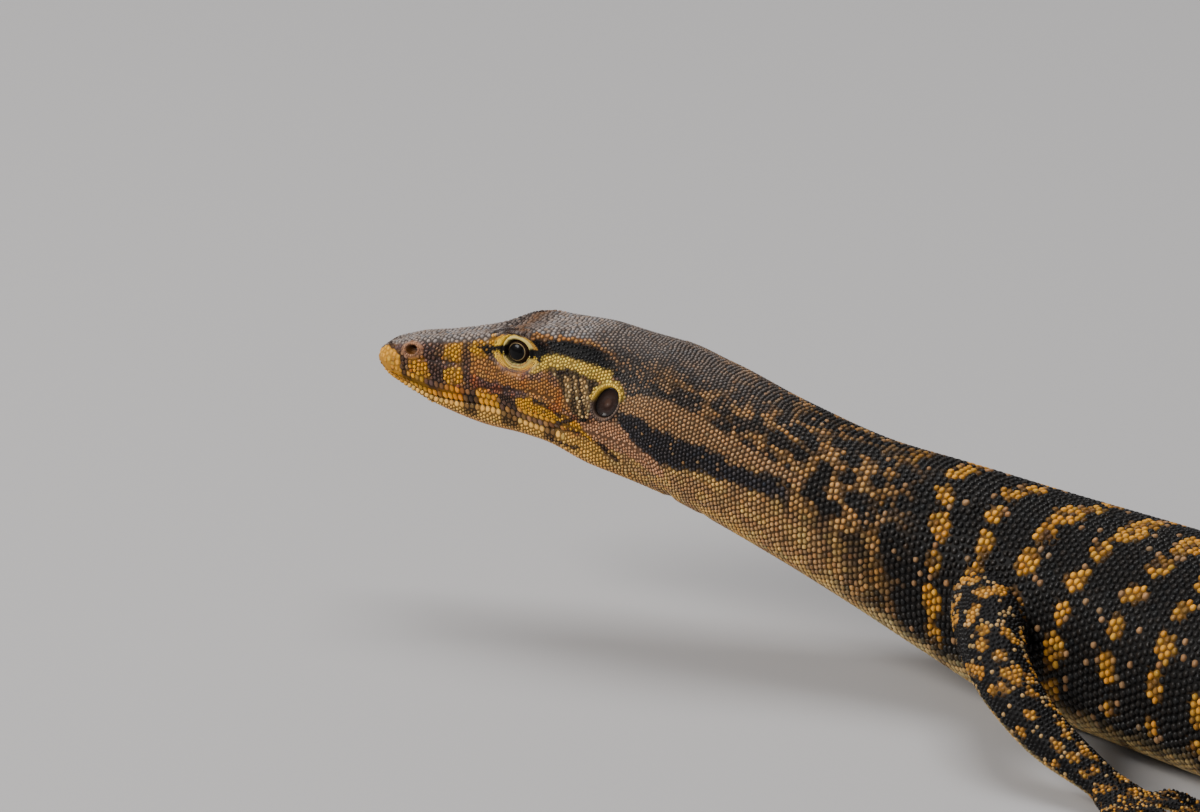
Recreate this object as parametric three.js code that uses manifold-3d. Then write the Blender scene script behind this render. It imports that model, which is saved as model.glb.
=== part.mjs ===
// A water monitor lizard at life size, lying on its belly with its head raised, its legs swept
// back along its sides and its tail in a swimmer's curve. Millimetres, +Z up. The snout points
// along -X and the left side faces -Y. The origin is on the floor, at the middle of the
// animal's bounding box. "Station" means the distance from the tip of the snout, measured back
// along the body.
import * as THREE from "three";
import { mergeVertices } from "three/addons/utils/BufferGeometryUtils.js";
import Module from "manifold-3d";

const wasm = await Module();
wasm.setup();

// Driving dimensions
const totalLength = 1400;
const snoutHeight = 90; // the tip of the snout above the floor
const snoutX = -673.5; // where the tip of the snout lies in plan
const snoutY = -25.6;
const seam = 0.3; // the thin cut between two neighbouring pieces
const headEnd = 112;
const neckEnd = 236;
const torsoEnd = 512;
const hipsEnd = 590;
const tailCuts = [740, 900, 1070, 1240, totalLength];
const noseRound = 8; // over this length the snout closes in a round tip
const neckBlend = [92, 126]; // the head's section turns into the neck's between these stations
const mouthEnd = 79;

// Heading of the body in plan, in degrees from +X, at each station: a swimmer's wave.
const heading = [
  [0, 10], [120, 10], [215, 8.5], [262, -4], [310, -10.5], [400, -10.5], [520, -1], [640, 13],
  [790, 23], [960, 12], [1130, -14], [1270, -27], [1400, -30],
];

// Heights over the floor and half widths of the body behind the head.
const bodyTop = [
  [90, 112.8], [114, 109.6], [129, 104.4], [139, 101], [156, 94.2], [171, 89], [182, 85.4],
  [196, 81.8], [217, 78.6], [250, 74], [280, 72.4], [341, 72], [420, 70.5], [500, 65], [560, 58.5],
  [620, 54], [740, 46], [900, 36], [1070, 26], [1240, 15], [1400, 3],
];
const bodyBottom = [
  [90, 62], [125, 52], [160, 38], [190, 24.5], [220, 11], [248, 2], [275, -1], [300, -1.5],
  [420, -2.5], [500, -1.5], [560, -0.5], [620, -0.6], [1400, -0.6],
];
const bodyHalfWidth = [
  [90, 25.5], [125, 27.4], [160, 28.2], [190, 29.6], [220, 32.5], [260, 38.5], [320, 43.5], [400, 47.5],
  [460, 45], [520, 35.5], [570, 28], [620, 22], [740, 14.5], [900, 10], [1070, 7], [1240, 4.4], [1400, 1.4],
];

// The head's outline in half sections, heights measured from the tip of the snout.
const crownZ = [[0, 5.6], [8, 8], [15, 9.8], [30, 12.2], [45, 15.2], [58, 18.8], [75, 22], [92, 23], [126, 17]];
const canthusHalf = [[0, 4], [15, 6.4], [30, 7.4], [45, 9.4], [60, 12.6], [75, 13.6], [92, 15], [126, 16]];
const canthusZ = [[0, 4.2], [15, 8.2], [30, 10.8], [45, 14.4], [58, 18.8], [75, 19], [92, 17], [126, 8]];
const cheekHalf = [[0, 7], [15, 9.2], [30, 11.4], [45, 14], [60, 17.4], [75, 20.8], [92, 23.4], [126, 26]];
const cheekZ = [[0, 0], [60, 0.5], [92, -2], [126, -6]];
const lipZ = [[0, -4], [8, -6], [13, -7.6], [24, -10.4], [34, -10.4], [45, -9.6], [53, -9.5], [63, -11.4], [78, -12.6], [126, -16]];
const jawHalf = [[0, 3.4], [12, 5.2], [24, 7.4], [45, 11], [60, 13.2], [75, 16.4], [92, 20.6], [126, 22]];
const jawZ = [[0, -5], [12, -9], [24, -13.2], [45, -16.8], [60, -17.6], [75, -19], [92, -23], [126, -30]];
const chinZ = [[0, -5.4], [12, -10.2], [24, -15.2], [40, -19.6], [60, -20.8], [75, -22.4], [92, -27.5], [126, -35]];
const lipInset = 0.6; // the lip lies this much inside the line of cheek and jaw

// Swellings (positive) and hollows (negative) of the head: [station, height, reach along,
// reach up, amount], the same on both sides.
const headForms = {
  brow: [60, 20, 11, 3.4, 2.4],
  orbit: [60, 12, 8.6, 6, -3.4],
  lore: [38, 5.5, 12, 5, -1.1],
  nostrilSwelling: [16, 6.2, 6, 4.5, 1.2],
  jowl: [67, -6.4, 13, 4.4, 1.5],
  temple: [84, 9, 12, 6, 0.9],
  jawMuscle: [90, -14, 12, 8, 1.2],
};

// Places on the head: station, height over the snout's tip, and the sizes that go with each.
const eye = { station: 60.2, z: 12.4, radius: 6.2, centreIn: 4, lid: [8.4, 7.1, 7.6], opening: [4.6, 5, 4.1] };
const nostril = { station: 16.6, z: 6.2, along: 2.1, up: 1.5, depth: 4 };
const ear = { station: 98.6, z: 2, along: 4.6, up: 5.9, depth: 3.2, tilt: 25, drumThick: 1.4 };
const mouthCut = { depth: 1.7, half: 0.6 };

// Legs: joints as [station, distance out from the middle, height], radii [across, up] there.
const foreleg = {
  joints: [[246, 18, 40], [264, 38, 41], [283, 56, 37], [303, 66, 29], [324, 69, 18.5], [348, 69, 9.5]],
  radii: [[13, 15], [13.5, 15], [11.5, 12.5], [10, 10], [8.8, 8.4], [7.6, 5.4]],
  names: ["upper_arm", "forearm", "hand"],
  palm: { length: 19, half: 10.5, thick: 4.6 },
  digits: [
    { turn: -46, length: 17 }, { turn: -21, length: 24 }, { turn: 0, length: 28 },
    { turn: 19, length: 27 }, { turn: 44, length: 20 },
  ],
  turn: 6,
};
const hindleg = {
  joints: [[530, 12, 34], [551, 33, 37], [574, 53, 37], [600, 66, 30], [626, 65, 19], [656, 61, 9.5]],
  radii: [[17, 18], [17, 18], [14, 15], [11, 11.5], [9.5, 9.5], [7.4, 5.6]],
  names: ["thigh", "shank", "foot"],
  palm: { length: 27, half: 10.5, thick: 4.8 },
  digits: [
    { turn: -30, length: 18 }, { turn: -14, length: 27 }, { turn: -1, length: 36 },
    { turn: 12, length: 43 }, { turn: 46, length: 24 },
  ],
  turn: 9,
};
const kneeAt = 3; // the joint number of the elbow or knee
const wristAt = 5;
const digit = { rootRadius: 3.3, tipRadius: 2.5, arch: 3.4 };
const claw = { length: 10.5, radius: 2, rise: 1.1, tipHeight: 0.5, narrow: 0.72 };

const colours = {
  skin: new THREE.MeshStandardMaterial({ color: 0x3a3128, roughness: 0.42, metalness: 0 }),
  eyeball: new THREE.MeshStandardMaterial({ color: 0x1b120c, roughness: 0.05, metalness: 0 }),
  eardrum: new THREE.MeshStandardMaterial({ color: 0x3b2118, roughness: 0.35, metalness: 0 }),
  claw: new THREE.MeshStandardMaterial({ color: 0x17120e, roughness: 0.3, metalness: 0 }),
};

const clampIndex = (i, n) => Math.min(Math.max(i, 0), n - 1);
const smooth = (from, to, x) => THREE.MathUtils.smoothstep(x, from, to);
const lerp = THREE.MathUtils.lerp;

// A smooth curve through a table of [x, value] pairs.
function along(table, x) {
  const n = table.length;
  let i = 0;
  while (i < n - 2 && x > table[i + 1][0]) i++;
  const slope = (k) => {
    const a = table[clampIndex(k - 1, n)];
    const b = table[clampIndex(k + 1, n)];
    return (b[1] - a[1]) / (b[0] - a[0]);
  };
  const [x0, y0] = table[i];
  const [x1, y1] = table[i + 1];
  const h = x1 - x0;
  const t = THREE.MathUtils.clamp((x - x0) / h, 0, 1);
  const t2 = t * t;
  const t3 = t2 * t;
  return (2 * t3 - 3 * t2 + 1) * y0 + (t3 - 2 * t2 + t) * h * slope(i)
    + (3 * t2 - 2 * t3) * y1 + (t3 - t2) * h * slope(i + 1);
}

// A smooth curve through a row of number lists, at position t counted in list places.
function through(rows, t) {
  const n = rows.length;
  const i = clampIndex(Math.floor(t), n - 1);
  const f = t - i;
  const before = i > 0 ? rows[i - 1] : rows[0].map((v, k) => 2 * v - rows[1][k]);
  const after = i < n - 2 ? rows[i + 2] : rows[n - 1].map((v, k) => 2 * v - rows[n - 2][k]);
  return rows[i].map((b, k) => {
    const a = before[k];
    const c = rows[i + 1][k];
    const d = after[k];
    return b + 0.5 * f * (c - a + f * (2 * a - 5 * b + 4 * c - d + f * (3 * (b - c) + d - a)));
  });
}

// The body's path over the floor, walked in short steps from the snout.
const stride = 2;
const walk = [[snoutX, snoutY]];
for (let s = 0; s < totalLength + 4 * stride; s += stride) {
  const turn = THREE.MathUtils.degToRad(along(heading, s + stride / 2));
  const [x, y] = walk.at(-1);
  walk.push([x + stride * Math.cos(turn), y + stride * Math.sin(turn)]);
}

// The unit vector to the animal's left at a station.
function leftOf(s) {
  const turn = THREE.MathUtils.degToRad(along(heading, s));
  return new THREE.Vector3(Math.sin(turn), -Math.cos(turn), 0);
}

// The point at a station, so far out to the left and so high over the floor.
function place(s, out, z) {
  const i = clampIndex(Math.floor(s / stride), walk.length - 1);
  const f = s / stride - i;
  const x = lerp(walk[i][0], walk[i + 1][0], f);
  const y = lerp(walk[i][1], walk[i + 1][1], f);
  return new THREE.Vector3(x, y, z).addScaledVector(leftOf(s), out);
}

// Half section of neck, trunk and tail: v is 0 at the top and 1 at the bottom.
function bodyHalf(s, v) {
  const top = along(bodyTop, s);
  const bottom = along(bodyBottom, s);
  const half = along(bodyHalfWidth, s);
  const tail = smooth(540, 700, s);
  const middle = lerp(top, bottom, lerp(0.56, 0.6, tail));
  const angle = Math.PI * v;
  const c = Math.cos(angle);
  const power = c > 0 ? lerp(0.92, 0.8, tail) : 0.8;
  const pinch = 1 - tail * 0.42 * Math.max(c, 0);
  const out = half * Math.abs(Math.sin(angle)) ** 0.9 * pinch;
  const reach = c > 0 ? top - middle : middle - bottom;
  return [out, middle + Math.sign(c) * reach * Math.abs(c) ** power];
}

// Half section of the head, through crown, canthus, cheek, lip, jaw edge and chin.
function headHalf(s, v) {
  const canthus = [along(canthusHalf, s), along(canthusZ, s)];
  const jaw = [along(jawHalf, s), along(jawZ, s)];
  const cheek = [along(cheekHalf, s), along(cheekZ, s)];
  const lipHeight = along(lipZ, s);
  const share = (lipHeight - jaw[1]) / (cheek[1] - jaw[1]);
  const lip = [lerp(jaw[0], cheek[0], share ** 0.55) - lipInset, lipHeight];
  const rows = [
    [-canthus[0], canthus[1]], [0, along(crownZ, s)], canthus, cheek, lip, jaw,
    [0, along(chinZ, s)], [-jaw[0], jaw[1]],
  ];
  let [out, z] = through(rows, 1 + 5 * v);
  for (const [s0, z0, reachS, reachZ, amount] of Object.values(headForms)) {
    const gone = ((s - s0) / reachS) ** 2 + ((z - z0) / reachZ) ** 2;
    out += amount * Math.exp(-gone) * smooth(2, 8, out);
  }
  const round = s < noseRound ? Math.sqrt(Math.max(0, 1 - (1 - s / noseRound) ** 2)) : 1;
  return [out * round, snoutHeight + z * round];
}

// Whole section of the animal at a station; the angle runs from the top down the left side.
function section(s, angle) {
  const side = angle < 0 ? -1 : 1;
  const v = Math.abs(angle) / Math.PI;
  const share = smooth(...neckBlend, s);
  const head = share < 1 ? headHalf(s, v) : [0, 0];
  const body = share > 0 ? bodyHalf(s, v) : [0, 0];
  return [side * lerp(head[0], body[0], share), lerp(head[1], body[1], share)];
}

// A closed tube: the vertices of a capped cylinder, each moved to its place by
// shape(t, angle), which gives the ring's middle and the point on the ring, t from 0 to 1.
function tube(sides, rows, shape) {
  const g = new THREE.CylinderGeometry(1, 1, 1, sides, rows);
  const p = g.getAttribute("position");
  for (let i = 0; i < p.count; i++) {
    const [x, y, z] = [p.getX(i), p.getY(i), p.getZ(i)];
    const { middle, rim } = shape(y + 0.5, Math.atan2(x, z));
    const at = middle.lerp(rim, Math.hypot(x, z));
    p.setXYZ(i, at.x, at.y, Math.max(at.z, 0));
  }
  return solid(g);
}

// A closed geometry as a solid that can be joined and cut.
function solid(geometry) {
  const g = geometry.clone();
  g.deleteAttribute("normal");
  g.deleteAttribute("uv");
  const merged = mergeVertices(g, 1e-4);
  return new wasm.Manifold(new wasm.Mesh({
    numProp: 3,
    vertProperties: merged.getAttribute("position").array,
    triVerts: new Uint32Array(merged.index.array),
  }));
}

// A length of the body between two stations, grown outwards by an allowance.
function bodyLength(from, to, sides, rows, allowance = 0, ease = (t) => t) {
  return tube(sides, rows, (t, angle) => {
    const s = lerp(from, to, ease(t));
    const [out, z] = section(s, angle);
    const high = section(s, 0)[1];
    const low = section(s, Math.PI)[1];
    const middle = place(s, 0, (high + low) / 2);
    const rim = place(s, out, z);
    const reach = rim.distanceTo(middle);
    return { middle, rim: rim.lerp(middle, -allowance / Math.max(reach, 0.01)) };
  });
}

// A tube round a path: centre(t) is a point, and radii(t) gives [across, up].
function limb(sides, rows, from, to, centre, radii) {
  return tube(sides, rows, (share, angle) => {
    const t = lerp(from, to, share);
    const middle = centre(t);
    const ahead = centre(t + 0.01).sub(centre(t - 0.01)).normalize();
    const across = ahead.clone().cross(new THREE.Vector3(0, 0, 1)).normalize();
    const up = across.clone().cross(ahead);
    const [a, b] = radii(t);
    const rim = middle.clone()
      .addScaledVector(across, a * Math.sin(angle))
      .addScaledVector(up, b * Math.cos(angle));
    return { middle, rim };
  });
}

// An ellipsoid with its axes along three given directions.
function ellipsoid(centre, axes, radii, segments = 16) {
  const g = new THREE.SphereGeometry(1, segments, Math.round(segments / 2));
  const basis = new THREE.Matrix4().makeBasis(...axes.map((a, i) => a.clone().multiplyScalar(radii[i])));
  return solid(g.applyMatrix4(basis.setPosition(centre)));
}

// The largest closed piece of a solid.
function largest(s) {
  return s.decompose().sort((a, b) => b.volume() - a.volume())[0];
}

// Where the head's skin lies at a station and height on one side, and the frame there:
// back along the head, up, and out of the skin.
function onHead(station, z, side) {
  let best = 0;
  for (let v = 0.05; v < 0.95; v += 0.005) {
    const miss = Math.abs(section(station, Math.PI * v)[1] - snoutHeight - z);
    if (miss < Math.abs(section(station, Math.PI * best)[1] - snoutHeight - z)) best = v;
  }
  const at = (s, v) => {
    const [out, height] = section(s, Math.PI * v);
    return place(s, side * out, height);
  };
  const centre = at(station, best);
  const back = at(station + 1.5, best).sub(at(station - 1.5, best)).normalize();
  const up = at(station, best - 0.02).sub(at(station, best + 0.02)).normalize();
  const out = back.clone().cross(up).multiplyScalar(side).normalize();
  return { centre, back, up: out.clone().cross(back).multiplyScalar(side), out };
}

// Both eyes: the frame at the lids and the centre of the ball.
function eyeFrame(side) {
  const f = onHead(eye.station, eye.z, side);
  return { ...f, ball: f.centre.clone().addScaledVector(f.out, -eye.centreIn) };
}

// The lids, drawn over the ball as a dome with an opening.
function lidDome(side) {
  const f = eyeFrame(side);
  return ellipsoid(f.ball, [f.back, f.out, f.back.clone().cross(f.out)], eye.lid, 22);
}

function lidOpening(side) {
  const f = eyeFrame(side);
  return ellipsoid(f.ball.clone().addScaledVector(f.out, eye.opening[1]),
    [f.back, f.out, f.back.clone().cross(f.out)], eye.opening, 18);
}

function eyeball(side, allowance = 0) {
  const f = eyeFrame(side);
  const r = eye.radius + allowance;
  return ellipsoid(f.ball, [f.back, f.out, f.back.clone().cross(f.out)], [r, r, r], allowance ? 16 : 14);
}

function nostrilPit(side) {
  const f = onHead(nostril.station, nostril.z, side);
  return ellipsoid(f.centre, [f.back, f.out, f.back.clone().cross(f.out)],
    [nostril.along, nostril.depth, nostril.up], 10);
}

// The shallow cup of the ear; shift moves it out along the skin's normal.
function earCup(side, shrink = 0, shift = 0) {
  const f = onHead(ear.station, ear.z, side);
  const tilt = THREE.MathUtils.degToRad(ear.tilt);
  const tall = f.up.clone().multiplyScalar(Math.cos(tilt)).addScaledVector(f.back, Math.sin(tilt));
  const centre = f.centre.clone().addScaledVector(f.out, shift);
  return ellipsoid(centre, [tall, f.out, tall.clone().cross(f.out)],
    [ear.up - shrink, ear.depth - shrink, ear.along - shrink], 12);
}

function eardrum(side) {
  return largest(earCup(side, seam).subtract(earCup(side, seam, ear.drumThick)));
}

// The line of the mouth, a narrow groove from one corner round the snout to the other.
function mouthGroove() {
  const lipAngle = 0.6 * Math.PI;
  const point = (q) => {
    const s = mouthEnd * q * q + 0.02;
    const [out, z] = section(s, lipAngle);
    return place(s, Math.sign(q) * out, z);
  };
  return tube(4, 46, (t, angle) => {
    const q = lerp(-1, 1, t);
    const middle = point(q);
    const ahead = point(q + 0.01).sub(point(q - 0.01)).setZ(0).normalize();
    const outward = ahead.clone().cross(new THREE.Vector3(0, 0, 1));
    const fade = smooth(1, 0.86, Math.abs(q)) * 0.75 + 0.25;
    const rim = middle.clone()
      .addScaledVector(outward, mouthCut.depth * fade * Math.sin(angle))
      .add(new THREE.Vector3(0, 0, mouthCut.half * Math.cos(angle)));
    return { middle, rim };
  });
}

function head() {
  const nose = (t) => t * (0.35 + 0.65 * t);
  let whole = bodyLength(0.03, headEnd, 40, 40, 0, nose);
  for (const side of [1, -1]) {
    whole = whole.add(lidDome(side)).subtract(eyeball(side, seam)).subtract(lidOpening(side))
      .subtract(nostrilPit(side)).subtract(earCup(side));
  }
  return largest(whole.subtract(mouthGroove()));
}

// The world points of a leg's joints on one side.
function legPath(leg, side) {
  const joints = leg.joints.map(([s, out, z]) => place(s, side * out, z).toArray());
  return (t) => new THREE.Vector3(...through(joints, t));
}

function legPieces(leg, side, trunk) {
  const path = legPath(leg, side);
  const radii = (t) => through(leg.radii, THREE.MathUtils.clamp(t, 0, wristAt));
  const gap = seam / path(kneeAt).distanceTo(path(kneeAt + 1));
  const upper = limb(12, 9, 0, kneeAt, path, radii);
  const lower = limb(12, 7, kneeAt + gap, wristAt, path, radii);
  return [largest(upper.subtract(trunk)), lower];
}

// The frame of a hand or foot: where it starts, ahead along it, and across to its fifth digit.
function handFrame(leg, side) {
  const path = legPath(leg, side);
  const [s] = leg.joints[wristAt];
  const turn = THREE.MathUtils.degToRad(leg.turn);
  const left = leftOf(s).multiplyScalar(side);
  const back = left.clone().cross(new THREE.Vector3(0, 0, -side));
  const ahead = back.multiplyScalar(Math.cos(turn)).addScaledVector(left, Math.sin(turn));
  const across = left.clone().addScaledVector(ahead, -left.dot(ahead)).normalize();
  return { start: path(wristAt), ahead, across };
}

// The middle line of one digit, t from 0 at its root in the palm to 1 at its tip.
function digitPath(leg, frame, { turn, length }) {
  const angle = THREE.MathUtils.degToRad(turn);
  const way = frame.ahead.clone().multiplyScalar(Math.cos(angle)).addScaledVector(frame.across, Math.sin(angle));
  const spread = leg.palm.half * 0.62 * Math.sin(angle * 1.6);
  const root = frame.start.clone()
    .addScaledVector(frame.ahead, leg.palm.length - 7)
    .addScaledVector(frame.across, spread);
  return (t) => root.clone()
    .addScaledVector(way, t * (length + 7))
    .setZ(digit.tipRadius + 0.8 + digit.arch * Math.sin(Math.PI * THREE.MathUtils.clamp(t * 1.1, 0, 1)) ** 1.5);
}

function hand(leg, side) {
  const f = handFrame(leg, side);
  const gap = legPath(leg, side)(wristAt + 0.01).sub(f.start).normalize().multiplyScalar(seam);
  const { length, half, thick } = leg.palm;
  const wrist = leg.radii[wristAt];
  const start = f.start.clone().add(gap);
  const end = f.start.clone().addScaledVector(f.ahead, length).setZ(thick * 0.8);
  const ahead = legPath(leg, side)(wristAt).sub(legPath(leg, side)(wristAt - 0.02)).normalize();
  const bend = start.clone().addScaledVector(ahead, length * 0.45);
  const path = new THREE.QuadraticBezierCurve3(start, bend, end);
  let whole = limb(12, 6, 0, 1, (t) => path.getPoint(t), (t) => [
    lerp(wrist[0], half, smooth(0, 0.6, t)) * Math.sqrt(1 - 0.72 * smooth(0.7, 1, t)),
    lerp(wrist[1], thick, smooth(0, 0.5, t)) * Math.sqrt(1 - 0.72 * smooth(0.7, 1, t)),
  ]);
  for (const d of leg.digits) {
    const line = digitPath(leg, f, d);
    whole = whole.add(limb(6, 5, 0, 1, line, (t) => {
      const r = lerp(digit.rootRadius, digit.tipRadius, t) * (1 + 0.09 * Math.cos(t * 3 * Math.PI));
      return [r, r];
    }));
  }
  return largest(whole);
}

function clawSolid(leg, side, d) {
  const f = handFrame(leg, side);
  const line = digitPath(leg, f, d);
  const tip = line(1);
  const way = line(1).sub(line(0.98)).setZ(0).normalize();
  const root = tip.clone().addScaledVector(way, seam).setZ(tip.z + 0.1);
  const path = (t) => root.clone()
    .addScaledVector(way, claw.length * Math.sin(t * 1.25) / Math.sin(1.25))
    .setZ(root.z + claw.rise * Math.sin(Math.PI * t) ** 2 - (root.z - claw.tipHeight) * t * t);
  return limb(6, 4, 0, 1, path, (t) => {
    const r = claw.radius * Math.max(1 - 0.93 * t, 0.05) ** 0.85;
    return [r * claw.narrow, Math.min(r, path(t).z)];
  });
}

const model = new THREE.Group();
model.name = "water_monitor";

function addPiece(name, piece, material) {
  const m = piece.getMesh();
  const g = new THREE.BufferGeometry();
  g.setAttribute("position", new THREE.BufferAttribute(new Float32Array(m.vertProperties), 3));
  g.setIndex(new THREE.BufferAttribute(new Uint32Array(m.triVerts), 1));
  g.computeVertexNormals();
  const mesh = new THREE.Mesh(g, material);
  mesh.name = name;
  model.add(mesh);
}

addPiece("head", head(), colours.skin);
addPiece("neck", bodyLength(headEnd + seam, neckEnd, 28, 10), colours.skin);
addPiece("torso", bodyLength(neckEnd + seam, torsoEnd, 28, 18), colours.skin);
addPiece("hips", bodyLength(torsoEnd + seam, hipsEnd, 28, 6), colours.skin);
tailCuts.forEach((end, i) => {
  const start = (i ? tailCuts[i - 1] : hipsEnd) + seam;
  addPiece(`tail_${i + 1}`, bodyLength(start, end - (end === totalLength ? 0.5 : 0), 18, 9), colours.skin);
});
const trunk = bodyLength(headEnd + 60, tailCuts[0], 48, 90, seam);
for (const [side, word] of [[1, "left"], [-1, "right"]]) {
  addPiece(`eye_${word}`, eyeball(side), colours.eyeball);
  addPiece(`eardrum_${word}`, eardrum(side), colours.eardrum);
  for (const leg of [foreleg, hindleg]) {
    const [upperName, lowerName, handName] = leg.names;
    const [upper, lower] = legPieces(leg, side, trunk);
    addPiece(`${upperName}_${word}`, upper, colours.skin);
    addPiece(`${lowerName}_${word}`, lower, colours.skin);
    addPiece(`${handName}_${word}`, hand(leg, side), colours.skin);
    leg.digits.forEach((d, i) => {
      addPiece(`${handName}_claw_${i + 1}_${word}`, clawSolid(leg, side, d), colours.claw);
    });
  }
}

export default model;
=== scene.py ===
"""Dresses the water monitor: one skin, its scales, eyes, eardrums and claws, and a plain studio."""
from functools import partial
from math import cos, pi, radians, sin

import bmesh
import bpy
import numpy as np
from bpy.props import FloatProperty, FloatVectorProperty, IntProperty, PointerProperty
from mathutils import Matrix, Vector
from mathutils.bvhtree import BVHTree
from mathutils.kdtree import KDTree


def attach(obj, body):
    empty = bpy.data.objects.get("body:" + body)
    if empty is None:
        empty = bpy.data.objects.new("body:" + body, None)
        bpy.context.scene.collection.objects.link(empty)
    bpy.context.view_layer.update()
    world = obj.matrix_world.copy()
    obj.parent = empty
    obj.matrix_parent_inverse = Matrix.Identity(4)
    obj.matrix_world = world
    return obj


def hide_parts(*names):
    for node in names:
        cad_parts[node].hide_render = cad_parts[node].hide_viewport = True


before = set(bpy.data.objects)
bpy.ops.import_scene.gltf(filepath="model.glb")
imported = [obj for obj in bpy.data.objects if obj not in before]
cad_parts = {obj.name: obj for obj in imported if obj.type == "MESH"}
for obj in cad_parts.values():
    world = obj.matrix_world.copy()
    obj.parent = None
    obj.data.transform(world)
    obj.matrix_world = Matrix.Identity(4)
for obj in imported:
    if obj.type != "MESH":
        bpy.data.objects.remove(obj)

bl_info = {
    "name": "Water monitor",
    "version": (1, 0, 0),
    "blender": (4, 5, 0),
    "location": "3D View > Sidebar > Water monitor",
    "description": "Dresses a life-size model of a water monitor lizard",
    "category": "Object",
}

# Lengths are in millimetres until a mesh is made. A station is the distance from the tip of
# the snout, measured back along the body. An angle runs from the top down the left side, and
# is negative on the right; its share of a half turn, from 0 at the top to 1 at the bottom, is
# called v.
MM = 0.001
TOTAL_LENGTH = 1400.0
SNOUT = (-673.5, -25.6, 90.0)
NOSE_ROUND = 8.0
NECK_BLEND = (92.0, 126.0)
STRIDE = 2.0
HEADING = [
    (0, 10), (120, 10), (215, 8.5), (262, -4), (310, -10.5), (400, -10.5), (520, -1), (640, 13),
    (790, 23), (960, 12), (1130, -14), (1270, -27), (1400, -30),
]
BODY_TOP = [
    (90, 112.8), (114, 109.6), (129, 104.4), (139, 101), (156, 94.2), (171, 89), (182, 85.4),
    (196, 81.8), (217, 78.6), (250, 74), (280, 72.4), (341, 72), (420, 70.5), (500, 65), (560, 58.5),
    (620, 54), (740, 46), (900, 36), (1070, 26), (1240, 15), (1400, 3),
]
BODY_BOTTOM = [
    (90, 62), (125, 52), (160, 38), (190, 24.5), (220, 11), (248, 2), (275, -1), (300, -1.5),
    (420, -2.5), (500, -1.5), (560, -0.5), (620, -0.6), (1400, -0.6),
]
BODY_HALF = [
    (90, 25.5), (125, 27.4), (160, 28.2), (190, 29.6), (220, 32.5), (260, 38.5), (320, 43.5), (400, 47.5),
    (460, 45), (520, 35.5), (570, 28), (620, 22), (740, 14.5), (900, 10), (1070, 7), (1240, 4.4), (1400, 1.4),
]
CROWN_Z = [(0, 4.6), (8, 6.6), (15, 8.9), (30, 12.2), (45, 15.2), (58, 18.8), (75, 22), (92, 23), (126, 17)]
CANTHUS_HALF = [(0, 4), (15, 6.4), (30, 7.4), (45, 9.4), (60, 12.6), (75, 13.6), (92, 15), (126, 16)]
CANTHUS_Z = [(0, 4.2), (15, 8.2), (30, 10.8), (45, 14.4), (58, 18.8), (75, 19), (92, 17), (126, 8)]
CHEEK_HALF = [(0, 7), (15, 9.2), (30, 11.4), (45, 14), (60, 17.4), (75, 20.8), (92, 23.4), (126, 26)]
CHEEK_Z = [(0, 0), (60, 0.5), (92, -2), (126, -6)]
LIP_Z = [
    (0, -4), (8, -6), (13, -7.6), (24, -10.4), (34, -10.4), (45, -9.6), (53, -9.5), (63, -11.4), (78, -12.6),
    (126, -16),
]
JAW_HALF = [(0, 3.4), (12, 5.2), (24, 7.4), (45, 11), (60, 13.2), (75, 16.4), (92, 20.6), (126, 22)]
JAW_Z = [(0, -5), (12, -9), (24, -13.2), (45, -16.8), (60, -17.6), (75, -19), (92, -23), (126, -30)]
CHIN_Z = [(0, -5.4), (12, -10.2), (24, -15.2), (40, -19.6), (60, -20.8), (75, -22.4), (92, -27.5), (126, -35)]
LIP_INSET = 0.6
MOUTH_V = 0.6
MOUTH_END = 79.0
HEAD_END = 115.0
HALF_GIRTH = [(0, 12), (8, 24), (15, 30), (30, 38), (60, 52), (92, 70), (126, 80), (300, 112), (1400, 8)]

# Swellings and hollows of the head: station, height over the snout's tip, reach along and up, amount.
HEAD_FORMS = {
    "brow": (60, 20, 11, 3.4, 2.4),
    "orbit": (60, 12, 8.6, 6, -3.4),
    "lore": (38, 5.5, 12, 5, -1.1),
    "nostril": (16, 6.2, 6, 4.5, 1.2),
    "jowl": (67, -6.4, 13, 4.4, 1.5),
    "temple": (84, 9, 12, 6, 0.9),
    "jaw muscle": (90, -14, 12, 8, 1.2),
}

# Fine grooves of the skin: a line of (station, v), depth and half width.
CREASES = {
    "over the jowl": ([(42, 0.47), (51, 0.45), (61, 0.41), (66, 0.4), (75, 0.4), (81, 0.425)], 0.8, 0.8),
    "under the nostril": ([(14, 0.36), (23, 0.34), (32, 0.34), (39, 0.35)], 0.45, 0.55),
    "brow edge": ([(46, 0.215), (54, 0.2), (62, 0.195), (70, 0.21)], 0.5, 0.5),
    "corner of the mouth": ([(74, 0.6), (84, 0.575), (92, 0.55)], 0.7, 0.9),
}

EYE = {
    "station": 60.2, "z": 12.4, "radius": 6.2, "socket": 5.8, "centre_in": 4.0,
    "lid": (8.4, 7.1, 7.6), "opening": (5.3, 4.4),
}
NOSTRIL = {"station": 16.6, "z": 6.2, "along": 2.3, "up": 1.8}
EAR = {"station": 98.6, "z": 2.0, "along": 4.6, "up": 5.9, "tilt": 25.0}
RIMS = {
    "eye": EYE["opening"],
    "nostril": (NOSTRIL["along"], NOSTRIL["up"]),
    "ear": (EAR["along"], EAR["up"]),
}
ORGANS_END = 125.0

# Where an opening's edge swells and its middle sinks: amount, then two shares of its rim.
OPENINGS = {
    "nostril": ((0.6, 1.3, 0.4), (2.4, 1.15, 0.5), 6),
    "ear": ((0.55, 1.16, 0.14), (3.0, 1.04, 0.84), 8),
}

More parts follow.
